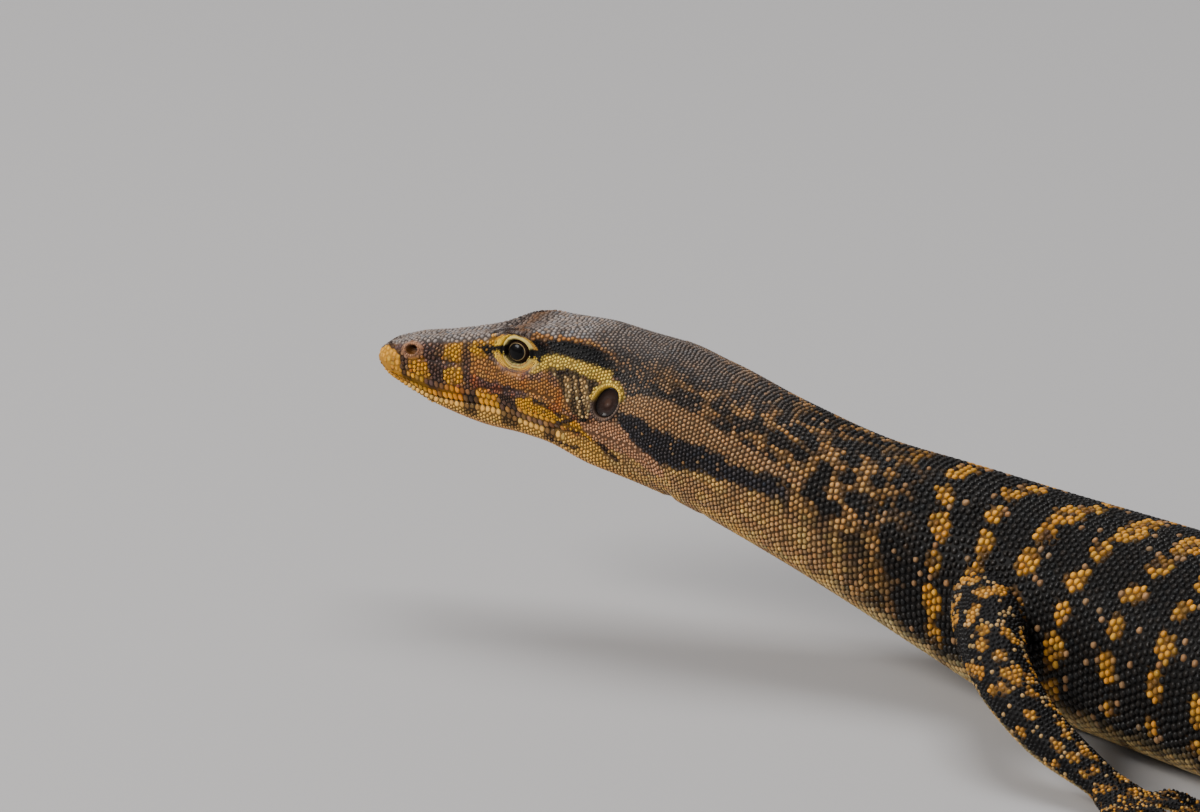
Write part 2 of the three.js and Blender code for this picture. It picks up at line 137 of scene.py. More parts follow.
# The line of the mouth and the lips beside it: distance above the line, half width, height.
MOUTH_FORMS = ((0, 0.42, -1.25), (1.3, 0.9, 0.35), (-1, 0.8, -0.15))
NECK_FOLDS = ((121, 1.6, 1.1), (134, 1.4, 0.6))
FLOOR_GAP = 0.02

FORELEG = {
    "joints": [(246, 18, 40), (264, 38, 41), (283, 56, 37), (303, 66, 29), (324, 69, 18.5), (348, 69, 9.5)],
    "radii": [(13, 15), (13.5, 15), (11.5, 12.5), (10, 10), (8.8, 8.4), (7.6, 5.4)],
    "names": ("upper_arm", "forearm", "hand"),
    "palm": (19, 10.5, 4.6),
    "digits": [(-46, 17), (-21, 24), (0, 28), (19, 27), (44, 20)],
    "turn": 6,
}
HINDLEG = {
    "joints": [(530, 12, 34), (551, 33, 37), (574, 53, 37), (600, 66, 30), (626, 65, 19), (656, 61, 9.5)],
    "radii": [(17, 18), (17, 18), (14, 15), (11, 11.5), (9.5, 9.5), (7.4, 5.6)],
    "names": ("thigh", "shank", "foot"),
    "palm": (27, 10.5, 4.8),
    "digits": [(-30, 18), (-14, 27), (-1, 36), (12, 43), (46, 24)],
    "turn": 9,
}
WRIST_AT = 5
DIGIT = {"root": 3.3, "tip": 2.5, "arch": 3.4}
CLAW = {"length": 10.5, "radius": 2.0, "rise": 1.1, "tip_height": 0.5, "narrow": 0.72, "rooted": 0.36}
SIDES = ((1, "left"), (-1, "right"))


def smooth(lo, hi, x):
    t = np.clip((np.asarray(x, float) - lo) / (hi - lo), 0, 1)
    return t * t * (3 - 2 * t)


def bell(x, middle, reach):
    return np.exp(-(((np.asarray(x, float) - middle) / reach) ** 2))


def straight(*pairs):
    """A function that reads (station, value) pairs by straight lines between them."""
    stations, values = zip(*pairs)
    return partial(np.interp, xp=stations, fp=values)


def read(value, *place):
    """A value that is either one number or worked out from a place."""
    return value(*place) if callable(value) else value


def along(table, x):
    """A smooth curve through a table of (x, value) pairs."""
    xs, ys = np.array(table, float).T
    n = len(xs)
    k = np.arange(n)
    ahead, behind = np.minimum(k + 1, n - 1), np.maximum(k - 1, 0)
    slope = (ys[ahead] - ys[behind]) / (xs[ahead] - xs[behind])
    x = np.asarray(x, float)
    i = np.clip(np.searchsorted(xs, x, side="left") - 1, 0, n - 2)
    h = xs[i + 1] - xs[i]
    t = np.clip((x - xs[i]) / h, 0, 1)
    t2, t3 = t * t, t * t * t
    rise = (t3 - 2 * t2 + t) * h * slope[i] + (t3 - t2) * h * slope[i + 1]
    return (2 * t3 - 3 * t2 + 1) * ys[i] + (3 * t2 - 2 * t3) * ys[i + 1] + rise


def through(rows, t):
    """A smooth curve through rows of numbers, at position t counted in rows."""
    rows = np.asarray(rows, float)
    n = len(rows)
    rows = np.concatenate([[2 * rows[0] - rows[1]], rows, [2 * rows[-1] - rows[-2]]])
    t = np.asarray(t, float)
    i = np.clip(np.floor(t).astype(int), 0, n - 2)
    f = (t - i)[..., None]
    if rows.ndim > 2:
        own = np.arange(rows.shape[1])
        a, b, c, d = (rows[i + j, own] for j in range(4))
    else:
        a, b, c, d = (rows[i + j] for j in range(4))
    return b + 0.5 * f * (c - a + f * (2 * a - 5 * b + 4 * c - d + f * (3 * (b - c) + d - a)))


def unit(v):
    return v / np.maximum(np.linalg.norm(v, axis=-1, keepdims=True), 1e-9)


def lengths_along(points):
    """How far each of a line's points lies from its start, measured along the line."""
    return np.concatenate([[0], np.cumsum(np.linalg.norm(np.diff(points, axis=0), axis=1))])


WALK_S = np.arange(0, TOTAL_LENGTH + 5 * STRIDE, STRIDE)
TURNS = np.radians(along(HEADING, WALK_S[:-1] + STRIDE / 2))
WALK_X = SNOUT[0] + np.concatenate([[0], np.cumsum(STRIDE * np.cos(TURNS))])
WALK_Y = SNOUT[1] + np.concatenate([[0], np.cumsum(STRIDE * np.sin(TURNS))])


def left_of(s):
    turn = np.radians(along(HEADING, s))
    return np.stack([np.sin(turn), -np.cos(turn), 0 * turn], -1)


def place(s, out, z):
    """The point at a station, so far out to the left and so high over the floor."""
    s = np.asarray(s, float)
    out, z = np.asarray(out, float), np.asarray(z, float)
    at = np.stack(np.broadcast_arrays(np.interp(s, WALK_S, WALK_X), np.interp(s, WALK_S, WALK_Y), z), -1)
    return at + left_of(s) * out[..., None]


def body_half(s, v):
    """Half section of neck, trunk and tail."""
    top, bottom, half = along(BODY_TOP, s), along(BODY_BOTTOM, s), along(BODY_HALF, s)
    tail = smooth(540, 700, s)
    middle = top + (bottom - top) * (0.56 + 0.04 * tail)
    c = np.cos(pi * v)
    power = np.where(c > 0, 0.92 - 0.12 * tail, 0.8)
    out = half * np.abs(np.sin(pi * v)) ** 0.9 * (1 - tail * 0.42 * np.maximum(c, 0))
    reach = np.where(c > 0, top - middle, middle - bottom)
    return out, middle + np.sign(c) * reach * np.abs(c) ** power


def mirrored(pair):
    return -pair[0], pair[1]


def head_half(s, v):
    """Half section of the head, through crown, canthus, cheek, lip, jaw edge and chin."""
    canthus = (along(CANTHUS_HALF, s), along(CANTHUS_Z, s))
    cheek = (along(CHEEK_HALF, s), along(CHEEK_Z, s))
    jaw = (along(JAW_HALF, s), along(JAW_Z, s))
    lip_z = along(LIP_Z, s)
    share = (lip_z - jaw[1]) / (cheek[1] - jaw[1])
    lip = (jaw[0] + (cheek[0] - jaw[0]) * np.abs(share) ** 0.55 - LIP_INSET, lip_z)
    crown, chin = (0 * s, along(CROWN_Z, s)), (0 * s, along(CHIN_Z, s))
    ring = (mirrored(canthus), crown, canthus, cheek, lip, jaw, chin, mirrored(jaw))
    out, z = through(np.array([np.stack(pair, -1) for pair in ring]), 1 + 5 * v).T
    for s0, z0, reach_s, reach_z, amount in HEAD_FORMS.values():
        out = out + amount * bell(s, s0, reach_s) * bell(z, z0, reach_z) * smooth(2, 8, out)
    rounding = np.sqrt(np.clip(1 - (1 - np.minimum(s, NOSE_ROUND) / NOSE_ROUND) ** 2, 0, 1))
    return out * rounding, SNOUT[2] + z * rounding


def base_point(s, angle):
    """The plain outline of the animal, before any fine form."""
    s, angle = np.broadcast_arrays(np.asarray(s, float), np.asarray(angle, float))
    shape = s.shape
    s, angle = s.ravel(), angle.ravel()
    v = np.abs(angle) / pi
    share = smooth(*NECK_BLEND, s)
    out, z = body_half(s, v)
    near = s < NECK_BLEND[1]
    head_out, head_z = head_half(s[near], v[near])
    out[near] = head_out + (out[near] - head_out) * share[near]
    z[near] = head_z + (z[near] - head_z) * share[near]
    return place(s, np.where(angle < 0, -1, 1) * out, z).reshape(*shape, 3)


def half_girth(s):
    return along(HALF_GIRTH, s)


def frame_of(point, s, angle, reach=0.4):
    """Point, way to the tail, way round to the left, and way out of the skin, by small steps."""
    turn = reach / half_girth(s) * pi
    back = unit(point(s + reach, angle) - point(np.maximum(s - reach, 0.01), angle))
    around = unit(point(s, angle + turn) - point(s, angle - turn))
    out = unit(np.cross(around, back))
    return point(s, angle), back, unit(np.cross(back, out)), out


def organ_frame(station, z, side):
    """Where the skin lies at a station and height on one side, and the frame there."""
    v = np.arange(0.05, 0.95, 0.0025)
    heights = base_point(np.full_like(v, station), v * pi)[:, 2] - SNOUT[2]
    best = v[np.argmin(np.abs(heights - z))]

    def at(s, share):
        return base_point(np.array([s]), np.array([share * pi * side]))[0]

    back = unit(at(station + 1.5, best) - at(station - 1.5, best))
    up = unit(at(station, best - 0.02) - at(station, best + 0.02))
    out = unit(np.cross(back, up) * side)
    return at(station, best), back, np.cross(out, back) * side, out


ORGANS = {
    side: {
        "eye": organ_frame(EYE["station"], EYE["z"], side),
        "nostril": organ_frame(NOSTRIL["station"], NOSTRIL["z"], side),
        "ear": organ_frame(EAR["station"], EAR["z"], side),
    }
    for side, _ in SIDES
}


def organ_axes(side, organ):
    """The ways along and up an opening; the ear's is tilted."""
    _, back, up, _ = ORGANS[side][organ]
    if organ != "ear":
        return back, up
    tilt = radians(EAR["tilt"])
    return back * cos(tilt) - up * sin(tilt), up * cos(tilt) + back * sin(tilt)


def on_side(s, angle, side):
    """Which places lie on one side of the head, where the organs are."""
    return (np.where(angle < 0, -1, 1) == side) & (s < ORGANS_END)


def share_of_rim(organ, x, y):
    """How far a place lies from an opening's middle, as a share of its rim."""
    wide, tall = RIMS[organ]
    return np.hypot(x / wide, y / tall)


def organ_places(s, angle, points):
    """Where each point lies in the plane of its side's eye, nostril and ear, in millimetres."""
    places = {organ: np.full((len(s), 2), 99.0) for organ in RIMS}
    for side, _ in SIDES:
        mine = on_side(s, angle, side)
        for organ, spots in places.items():
            off = points[mine] - ORGANS[side][organ][0]
            spots[mine] = np.stack([off @ way for way in organ_axes(side, organ)], -1)
    return places


def organ_shares(s, angle, points):
    """How far each point lies from the eye, nostril and ear of its side, as a share of their rims."""
    places = organ_places(s, angle, points)
    return [share_of_rim(organ, *spots.T) for organ, spots in places.items()]


def brow_line(x):
    """Height of the brow's edge over the eye's middle, along the eye."""
    return 7.1 - np.where(x < -1, 0.01, 0.021) * (x + 1) ** 2


def relief(s, v):
    """Grooves and swellings of the skin, in millimetres outwards."""
    girth = half_girth(s)
    off = (MOUTH_V - v) * girth
    shut = smooth(MOUTH_END, MOUTH_END - 8, s)
    d = 0 * s
    for middle, half, height in MOUTH_FORMS:
        d = d + height * bell(off, middle, half) * shut
    for line, depth, half in CREASES.values():
        ends = smooth(line[0][0] - 1, line[0][0] + 4, s) * smooth(line[-1][0] + 1, line[-1][0] - 4, s)
        d = d - depth * bell((v - along(line, s)) * girth, 0, half) * ends
    throat = smooth(0.6, 0.8, v)
    for station, half, depth in NECK_FOLDS:
        d = d - depth * bell(s, station, half) * throat
    return d


def with_lids(points, side, sunk):
    """Raises the lids and the brow round the eye, and shapes the ball between them."""
    centre, back, up, normal = ORGANS[side]["eye"]
    x, y, h = (points - centre) @ back, (points - centre) @ up, (points - centre) @ normal
    rim = share_of_rim("eye", x, y)
    long, high, tall = EYE["lid"]
    dome = high * np.sqrt(np.clip(1 - (x / long) ** 2 - (y / tall) ** 2, 0, 1)) - EYE["centre_in"] - sunk
    lid = np.logaddexp(h / 0.35, dome / 0.35) * 0.35
    lid = lid + 0.45 * bell(rim, 1.13, 0.1) - 0.45 * bell(rim, 1.31, 0.05) + 0.25 * bell(rim, 1.5, 0.12)
    arch = y - brow_line(x)
    brow = smooth(13, 9, np.abs(x))
    lid = lid - 0.55 * bell(arch, -1.0, 0.5) * brow - 0.25 * bell(rim, 1.8, 0.07) * (y < 0)
    ball = np.sqrt(np.clip(EYE["socket"] ** 2 - x * x - y * y, 0, None)) - EYE["centre_in"]
    inside = smooth(1.04, 0.98, rim)
    target = lid * (1 - inside) + ball * inside
    reach = np.hypot(x, y)
    rise = np.where((reach < 9) & (h > -9), (target - h) * smooth(9, 7.6, reach), 0)
    points = points + normal * rise[:, None]
    return points + normal * (0.7 * bell(arch, 0.5, 0.8) * brow * (h > -9))[:, None]


def with_opening(points, side, organ):
    """Raises the rim of a nostril or an ear and sinks its middle."""
    swell, hollow, within = OPENINGS[organ]
    centre, _, _, normal = ORGANS[side][organ]
    rim = share_of_rim(organ, *((points - centre) @ way for way in organ_axes(side, organ)))
    height = swell[0] * bell(rim, *swell[1:]) - hollow[0] * smooth(*hollow[1:], rim)
    near = np.abs((points - centre) @ normal) < within
    return points + normal * np.where(near, height, 0)[:, None]


def skin_point(s, angle, sunk=0.0):
    """The skin with its fine forms, lying a little inside the outline."""
    s, angle = np.broadcast_arrays(np.asarray(s, float), np.asarray(angle, float))
    shape = s.shape
    s, angle = s.ravel(), angle.ravel()
    p, _, _, out = frame_of(base_point, s, angle)
    p = p + out * (relief(s, np.abs(angle) / pi) * (s < 140) - sunk)[:, None]
    for side, _ in SIDES:
        mine = np.flatnonzero(on_side(s, angle, side))
        p[mine] = with_lids(p[mine], side, sunk)
        for organ in OPENINGS:
            p[mine] = with_opening(p[mine], side, organ)
    p[:, 2] = np.maximum(p[:, 2], FLOOR_GAP)
    return p.reshape(*shape, 3)


# The legs: paths, palms and digits.
class Leg:
    """One leg: a path through its joints, a palm and five digits."""

    def __init__(self, plan, side):
        self.plan = plan
        self.side = side
        self.joints = [place(s, side * out, z) for s, out, z in plan["joints"]]
        self.start = self.path(WRIST_AT)
        left = left_of(plan["joints"][WRIST_AT][0]) * side
        back = np.cross(left, (0, 0, -side))
        turn = radians(plan["turn"])
        self.ahead = back * cos(turn) + left * sin(turn)
        self.across = unit(left - self.ahead * (left @ self.ahead))

    def path(self, t):
        return through(self.joints, np.asarray(t, float))

    def radii(self, t):
        return through(self.plan["radii"], np.clip(t, 0, WRIST_AT))

    def palm_path(self, t):
        length, _, thick = self.plan["palm"]
        ahead = unit(self.path(WRIST_AT) - self.path(WRIST_AT - 0.02))
        end = self.start + self.ahead * length
        end[2] = thick * 0.8
        bend = self.start + ahead * length * 0.45
        t = np.asarray(t, float)[..., None]
        return self.start * (1 - t) ** 2 + bend * 2 * t * (1 - t) + end * t * t

    def palm_radii(self, t):
        _, half, thick = self.plan["palm"]
        wrist = self.plan["radii"][WRIST_AT]
        close = np.sqrt(1 - 0.72 * smooth(0.7, 1, t))
        a = (wrist[0] + (half - wrist[0]) * smooth(0, 0.6, t)) * close
        b = (wrist[1] + (thick - wrist[1]) * smooth(0, 0.5, t)) * close
        return np.stack([a, b], -1)

    def digit_path(self, turn, length):
        angle = radians(turn)
        way = self.ahead * cos(angle) + self.across * sin(angle)
        palm_length, half, _ = self.plan["palm"]
        root = self.start + self.ahead * (palm_length - 7) + self.across * half * 0.62 * sin(angle * 1.6)

        def path(t):
            t = np.asarray(t, float)
            p = root + way * (t * (length + 7))[..., None]
            arch = np.clip(np.sin(pi * np.clip(t * 1.1, 0, 1)), 0, 1) ** 1.5
            p[..., 2] = DIGIT["tip"] + 0.8 + DIGIT["arch"] * arch
            return p

        return path

    def digit_radii(self, t):
        r = (DIGIT["root"] + (DIGIT["tip"] - DIGIT["root"]) * t) * (1 + 0.09 * np.cos(t * 3 * pi))
        close = np.sqrt(np.clip(1 - ((t - 0.9) / 0.102) ** 2 * (t > 0.9), 0, 1))
        return np.stack([r * close, r * close], -1)

    def parts(self):
        """Each part of the leg as its path, its radii, and its first and last position."""
        parts = [(self.path, self.radii, 0.0, float(WRIST_AT)), (self.palm_path, self.palm_radii, 0.0, 1.0)]
        for turn, length in self.plan["digits"]:
            parts.append((self.digit_path(turn, length), self.digit_radii, 0.0, 1.0))
        return parts

    def claw_path(self, turn, length):
        line = self.digit_path(turn, length)
        way = line(1.0) - line(0.98)
        way[2] = 0
        way = unit(way)
        root = line(1.0) + way * 0.3
        root[2] += 0.1

        def path(t):
            t = np.asarray(t, float)
            p = root + way * (CLAW["length"] * np.sin(t * 1.25) / sin(1.25))[..., None]
            t = np.maximum(t, 0)
            p[..., 2] = root[2] + CLAW["rise"] * np.sin(pi * t) ** 2 - (root[2] - CLAW["tip_height"]) * t * t
            return p

        def claw_radii(t):
            t = np.maximum(t, 0)
            r = CLAW["radius"] * np.maximum(1 - 0.93 * t, 0.05) ** 0.85
            return np.stack([r * CLAW["narrow"], np.minimum(r, path(t)[..., 2])], -1)

        return path, claw_radii


def path_axes(path, t):
    """The ways ahead, across and up from a path; the way across is level."""
    ahead = unit(path(t + 0.01) - path(t - 0.01))
    across = unit(np.cross(ahead, (0, 0, 1)))
    return ahead, across, np.cross(across, ahead)


def tube_point(path, radii, t, angle):
    """A point on a tube round a path."""
    t, angle = np.broadcast_arrays(np.asarray(t, float), np.asarray(angle, float))
    _, across, up = path_axes(path, t)
    size = radii(t)
    wide, high = size[..., 0] * np.sin(angle), size[..., 1] * np.cos(angle)
    p = path(t) + across * wide[..., None] + up * high[..., None]
    p[..., 2] = np.maximum(p[..., 2], FLOOR_GAP)
    return p


LEGS = [(plan, side, Leg(plan, side)) for plan in (FORELEG, HINDLEG) for side, _ in SIDES]


# The markings, with a painted sky sheen on crown and nape and painted shade in the nostrils.
def paint(*rgb):
    """A colour given as it looks on screen, 0 to 255, in the renderer's own linear units."""
    c = np.array(rgb, float) / 255
    return np.where(c <= 0.04045, c / 12.92, ((c + 0.055) / 1.055) ** 2.4)


BLACK = paint(20, 18, 18)
COAL = paint(32, 29, 27)
DUSK = paint(50, 46, 43)
UMBER = paint(70, 50, 38)
MAUVE = paint(104, 78, 72)
# Grey-brown of the crown, lightened by a painted sky sheen.
GREY = paint(132, 116, 106)
SHEENED_CROWN = paint(150, 138, 131)
OCHRE = paint(188, 128, 66)
YELLOW = paint(236, 168, 40)
GOLD = paint(240, 162, 34)
CREAM = paint(238, 206, 142)
ORANGE = paint(214, 104, 18)
PINK = paint(208, 152, 112)
BELLY = paint(216, 184, 122)
STRAW = paint(252, 208, 84)
TAN = paint(182, 138, 94)
LID = paint(238, 192, 58)
LID_EDGE = paint(230, 208, 122)
# Deep brown of the marks, and of the painted shade inside the nostrils.
DEEP_BROWN_AND_SHADE = paint(40, 22, 14)
INK = paint(8, 7, 7)
SLATE = paint(62, 58, 60)


def chance(x, y, seed):
    """A number from 0 to 1 for each pair of whole numbers."""
    k = np.sin(np.asarray(x) * 127.1 + np.asarray(y) * 311.7 + seed * 74.7) * 43758.5453
    return k - np.floor(k)


def noise(x, y, seed=0.0):
    """Smooth noise from -1 to 1 with features about one unit across."""
    x, y = np.asarray(x, float), np.asarray(y, float)
    i, j = np.floor(x), np.floor(y)
    f, g = x - i, y - j
    f, g = f * f * (3 - 2 * f), g * g * (3 - 2 * g)
    low = chance(i, j, seed) * (1 - f) + chance(i + 1, j, seed) * f
    high = chance(i, j + 1, seed) * (1 - f) + chance(i + 1, j + 1, seed) * f
    return 2 * (low * (1 - g) + high * g) - 1


def mixed(under, over, share):
    share = np.asarray(share, float)[..., None]
    return under * (1 - share) + over * share


# Lines of (station, v, half width in millimetres), laid one over the other on the head.
HEAD_MARKS = [
    (YELLOW, [(15.5, 0.41, 2.4), (19, 0.415, 3.4), (22, 0.42, 2.8), (24, 0.44, 1)]),
    (YELLOW, [(26, 0.28, 1.4), (33, 0.285, 2.2), (44, 0.265, 2.4), (50, 0.24, 2.0), (54, 0.23, 1)]),
    (YELLOW, [(30, 0.43, 1.6), (33, 0.425, 2.4), (37.5, 0.42, 2.0)]),
    (OCHRE, [(41, 0.34, 2.4), (50, 0.37, 2.4), (62, 0.4, 2.2), (76, 0.39, 3), (84, 0.41, 1.6)]),
    (MAUVE, [(44, 0.43, 1.8), (56, 0.43, 1.4), (66, 0.42, 1)]),
    (OCHRE, [(66, 0.2, 1.0), (78, 0.178, 0.8), (90, 0.165, 0.9), (98, 0.185, 1.0), (103, 0.215, 0.8)]),
    (BLACK, [(65, 0.262, 1.6), (70, 0.247, 2.0), (78, 0.229, 2.1), (85, 0.215, 2.4), (92, 0.217, 2.4),
             (98, 0.23, 2.2), (103, 0.25, 0.8)]),
    (BLACK, [(86, 0.415, 1.0), (89, 0.435, 1.9), (92, 0.455, 1)]),
    (BLACK, [(43, 0.25, 0.7), (49, 0.27, 1.2), (53, 0.285, 0.9)]),
    (YELLOW, [(3, 0.5, 2.6), (12, 0.53, 2.6), (20, 0.555, 2.2), (26, 0.575, 1.2)]),
    (GOLD, [(28, 0.555, 1.8), (33, 0.55, 2.5), (37.5, 0.55, 2.5)]),
    (UMBER, [(37.9, 0.545, 2.4), (43.7, 0.545, 2.4)]),
    (GOLD, [(44.4, 0.53, 2.4), (53.2, 0.54, 2.4)]),
    (UMBER, [(53.8, 0.51, 2.8), (61, 0.5, 2.8)]),
    (YELLOW, [(62, 0.49, 2.6), (70, 0.49, 4.2), (80, 0.5, 3.4), (88, 0.52, 2.6), (93, 0.57, 1.6)]),
    (UMBER, [(69, 0.43, 0.7), (74, 0.437, 0.8), (80, 0.47, 0.8), (84, 0.49, 0.7)]),
    (UMBER, [(79, 0.535, 0.8), (83, 0.5, 0.9), (87, 0.455, 0.8)]),
    (UMBER, [(74, 0.72, 0.9), (88, 0.68, 0.9)]),
]
TEMPLE_MARKS = [
    (INK, [(65, 0.268, 1.8), (70, 0.245, 2.2), (77, 0.228, 2.2), (84, 0.216, 2.5), (90, 0.216, 2.7),
           (96, 0.224, 2.5), (101, 0.24, 1.6), (103.5, 0.25, 0.8)]),
    (STRAW, [(67, 0.315, 1.3), (71, 0.292, 1.4), (77, 0.274, 1.3), (85, 0.266, 1.3), (93, 0.268, 1.5),
             (99, 0.262, 1.3)]),
    (DEEP_BROWN_AND_SHADE, [(74, 0.305, 0.3), (78, 0.298, 0.5), (86, 0.291, 0.5), (92, 0.292, 0.3)]),
]
NECK_MARKS = [
    (PINK, [(90, 0.5, 2), (97, 0.53, 6.0), (106, 0.52, 6.5), (116, 0.56, 4.4), (122, 0.58, 2)]),
    (UMBER, [(95, 0.6, 1.2), (99, 0.63, 1.6), (103, 0.665, 1.2)]),
    (TAN, [(103.5, 0.36, 1), (109, 0.35, 3), (115, 0.36, 4.6), (121, 0.37, 5.4), (128, 0.355, 5),
           (136, 0.345, 4), (146, 0.34, 3.4), (158, 0.335, 2.6), (175, 0.33, 1.6)]),
    (SLATE, [(104.5, 0.42, 1.4), (108, 0.435, 3.4), (112, 0.455, 4.8), (118, 0.475, 4.4), (126, 0.47, 4.4),
             (134, 0.455, 4.0), (150, 0.43, 3), (170, 0.4, 2)]),
]
CHEEK_FRINGE = [
    (75, 0.293, 0.5), (80, 0.312, 1.8), (84, 0.345, 4), (88, 0.367, 5.3), (91.5, 0.365, 4.8), (94, 0.31, 1.5),
]
FRINGE_LEAN = 26.0
FRINGE_STEP = 1.45

# Dark bars of the snout as upper station, lower station and half width; of the lower lip as first
# and last station; and dark dots of the tip as station, v and radius.
SNOUT_BARS = ((25.4, 27.4, 3.3), (38.4, 40.2, 1.7))
LIP_BARS = ((37.7, 43.7), (53.8, 61), (72, 77))
TIP_DOTS = ((8.7, 0.39, 1.0), (8.2, 0.5, 0.9), (15.2, 0.52, 1.0))
TIP_EDGE = [(0, 4), (0.23, 7.2), (0.3, 11.4), (0.38, 13.2), (0.53, 12.8), (1, 12.8)]


def stripe(s, v, line, wobble=0.6):
    """How far a mark made of (station, v, half width) covers each place."""
    girth = half_girth(s)
    middle = along([(p[0], p[1]) for p in line], s)
    half = along([(p[0], p[2]) for p in line], s) + wobble * noise(s * 0.55, v * girth * 0.55, line[0][0])
    ends = smooth(line[0][0] - 1.2, line[0][0] + 0.4, s) * smooth(line[-1][0] + 1.2, line[-1][0] - 0.4, s)
    return smooth(half + 0.4, half - 0.4, np.abs(v - middle) * girth) * ends


def cells(x, y, seed):
    """Distance to the nearest of a scattered set of points one unit apart, and that point's own number."""
    best, own = np.full(len(x), 9.0), np.zeros(len(x))
    i, j = np.floor(x), np.floor(y)
    for a in (-1, 0, 1):
        for b in (-1, 0, 1):
            far = np.hypot(i + a + chance(i + a, j + b, seed) - x, j + b + chance(i + a, j + b, seed + 5) - y)
            mine = far < best
            best = np.where(mine, far, best)
            own = np.where(mine, chance(i + a, j + b, seed + 9), own)
    return best, own


def head_colour(s, v, speck):
    """The mottled head with its lip bars, temple stripes and cheek fringe, and a painted sky sheen on its
    crown.
    """
    top = smooth(0.25, 0.19, v + 0.015 * noise(s * 0.3, v * 30, 3))
    patch = noise(s * 0.45, v * 22, 12)
    c = mixed(np.broadcast_to(MAUVE, (len(s), 3)), OCHRE, smooth(-0.1, 0.5, patch + (speck - 0.5)))
    c = mixed(c, UMBER, smooth(0.3, 0.8, noise(s * 0.5, v * 25, 14) + 0.8 * (speck - 0.5)) * 0.7)
    cheek = smooth(44, 50, s) * smooth(0.29, 0.33, v) * smooth(0.52, 0.46, v)
    c = mixed(c, PINK, cheek * smooth(0.55, 0.2, speck) * 0.75)
    c = mixed(c, MAUVE, cheek * smooth(0.72, 0.8, speck) * 0.7)
    # Painted sky sheen: the crown's top takes the crown's grey-brown, lightened.
    c = mixed(c, SHEENED_CROWN, top)
    c = mixed(c, UMBER, top * smooth(0.35, 0.8, noise(s * 0.25, v * 9, 6)) * 0.6)
    c = mixed(c, mixed(YELLOW, CREAM, 0.3), smooth(0.56, 0.62, v))
    c = mixed(c, PINK, smooth(0.7, 0.85, v) * 0.7)
    cover = np.where(speck > 0.93 - 0.2 * smooth(62, 52, s), 0.35, 1.0)
    for colour, line in HEAD_MARKS:
        c = mixed(c, colour, stripe(s, v, line) * cover)
    flush = smooth(0.2, 0.8, noise(s * 0.3, v * 16, 21)) * smooth(0.3, 0.4, v) * smooth(0.62, 0.57, v)
    c = mixed(c, ORANGE, flush * 0.4)
    fringe = stripe(s, v, CHEEK_FRINGE)
    column = np.round((s - FRINGE_LEAN * (v - 0.3)) / FRINGE_STEP)
    streak = chance(column, 0, 33) - 0.38 - 0.5 * smooth(0.34, 0.42, v) * smooth(93, 88, s)
    c = mixed(c, mixed(mixed(CREAM, OCHRE, 0.35), UMBER, smooth(0.6, 0.9, speck) * 0.6), fringe * 0.85)
    c = mixed(c, DEEP_BROWN_AND_SHADE, fringe * smooth(0.1, -0.1, streak) * 0.85)
    for colour, line in TEMPLE_MARKS:
        c = mixed(c, colour, stripe(s, v, line, 0.3))
    for upper, lower, width in SNOUT_BARS:
        middle = upper + (lower - upper) * np.clip((v - 0.22) / 0.28, -0.2, 1)
        reach = smooth(0.54, 0.48, v) * smooth(0.2, 0.24, v)
        bar = smooth(width + 0.5, width - 0.5, np.abs(s - middle) + 0.9 * noise(s, v * 40, 5)) * reach
        c = mixed(c, mixed(UMBER, MAUVE, 0.5), bar * 0.9)
    for start, stop in LIP_BARS:
        bar = smooth(0.6, 0.61, v) * smooth(0.8, 0.7, v) * smooth(start - 0.8, start + 0.6, s)
        c = mixed(c, UMBER, bar * smooth(stop + 0.8, stop - 0.6, s) * 0.85)
    band = along(TIP_EDGE, v)
    c = mixed(c, mixed(YELLOW, OCHRE, 0.3), smooth(0.8, -0.8, s - band) * smooth(0.16, 0.24, v))
    edge = smooth(1.5, 0.8, np.abs(s - band) + 0.3 * noise(s, v * 40, 5))
    c = mixed(c, UMBER, edge * smooth(0.56, 0.5, v) * 0.95)
    for at, share, size in TIP_DOTS:
        c = mixed(c, UMBER, smooth(size, size * 0.3, np.hypot(s - at, (v - share) * half_girth(s))) * 0.8)
    return c


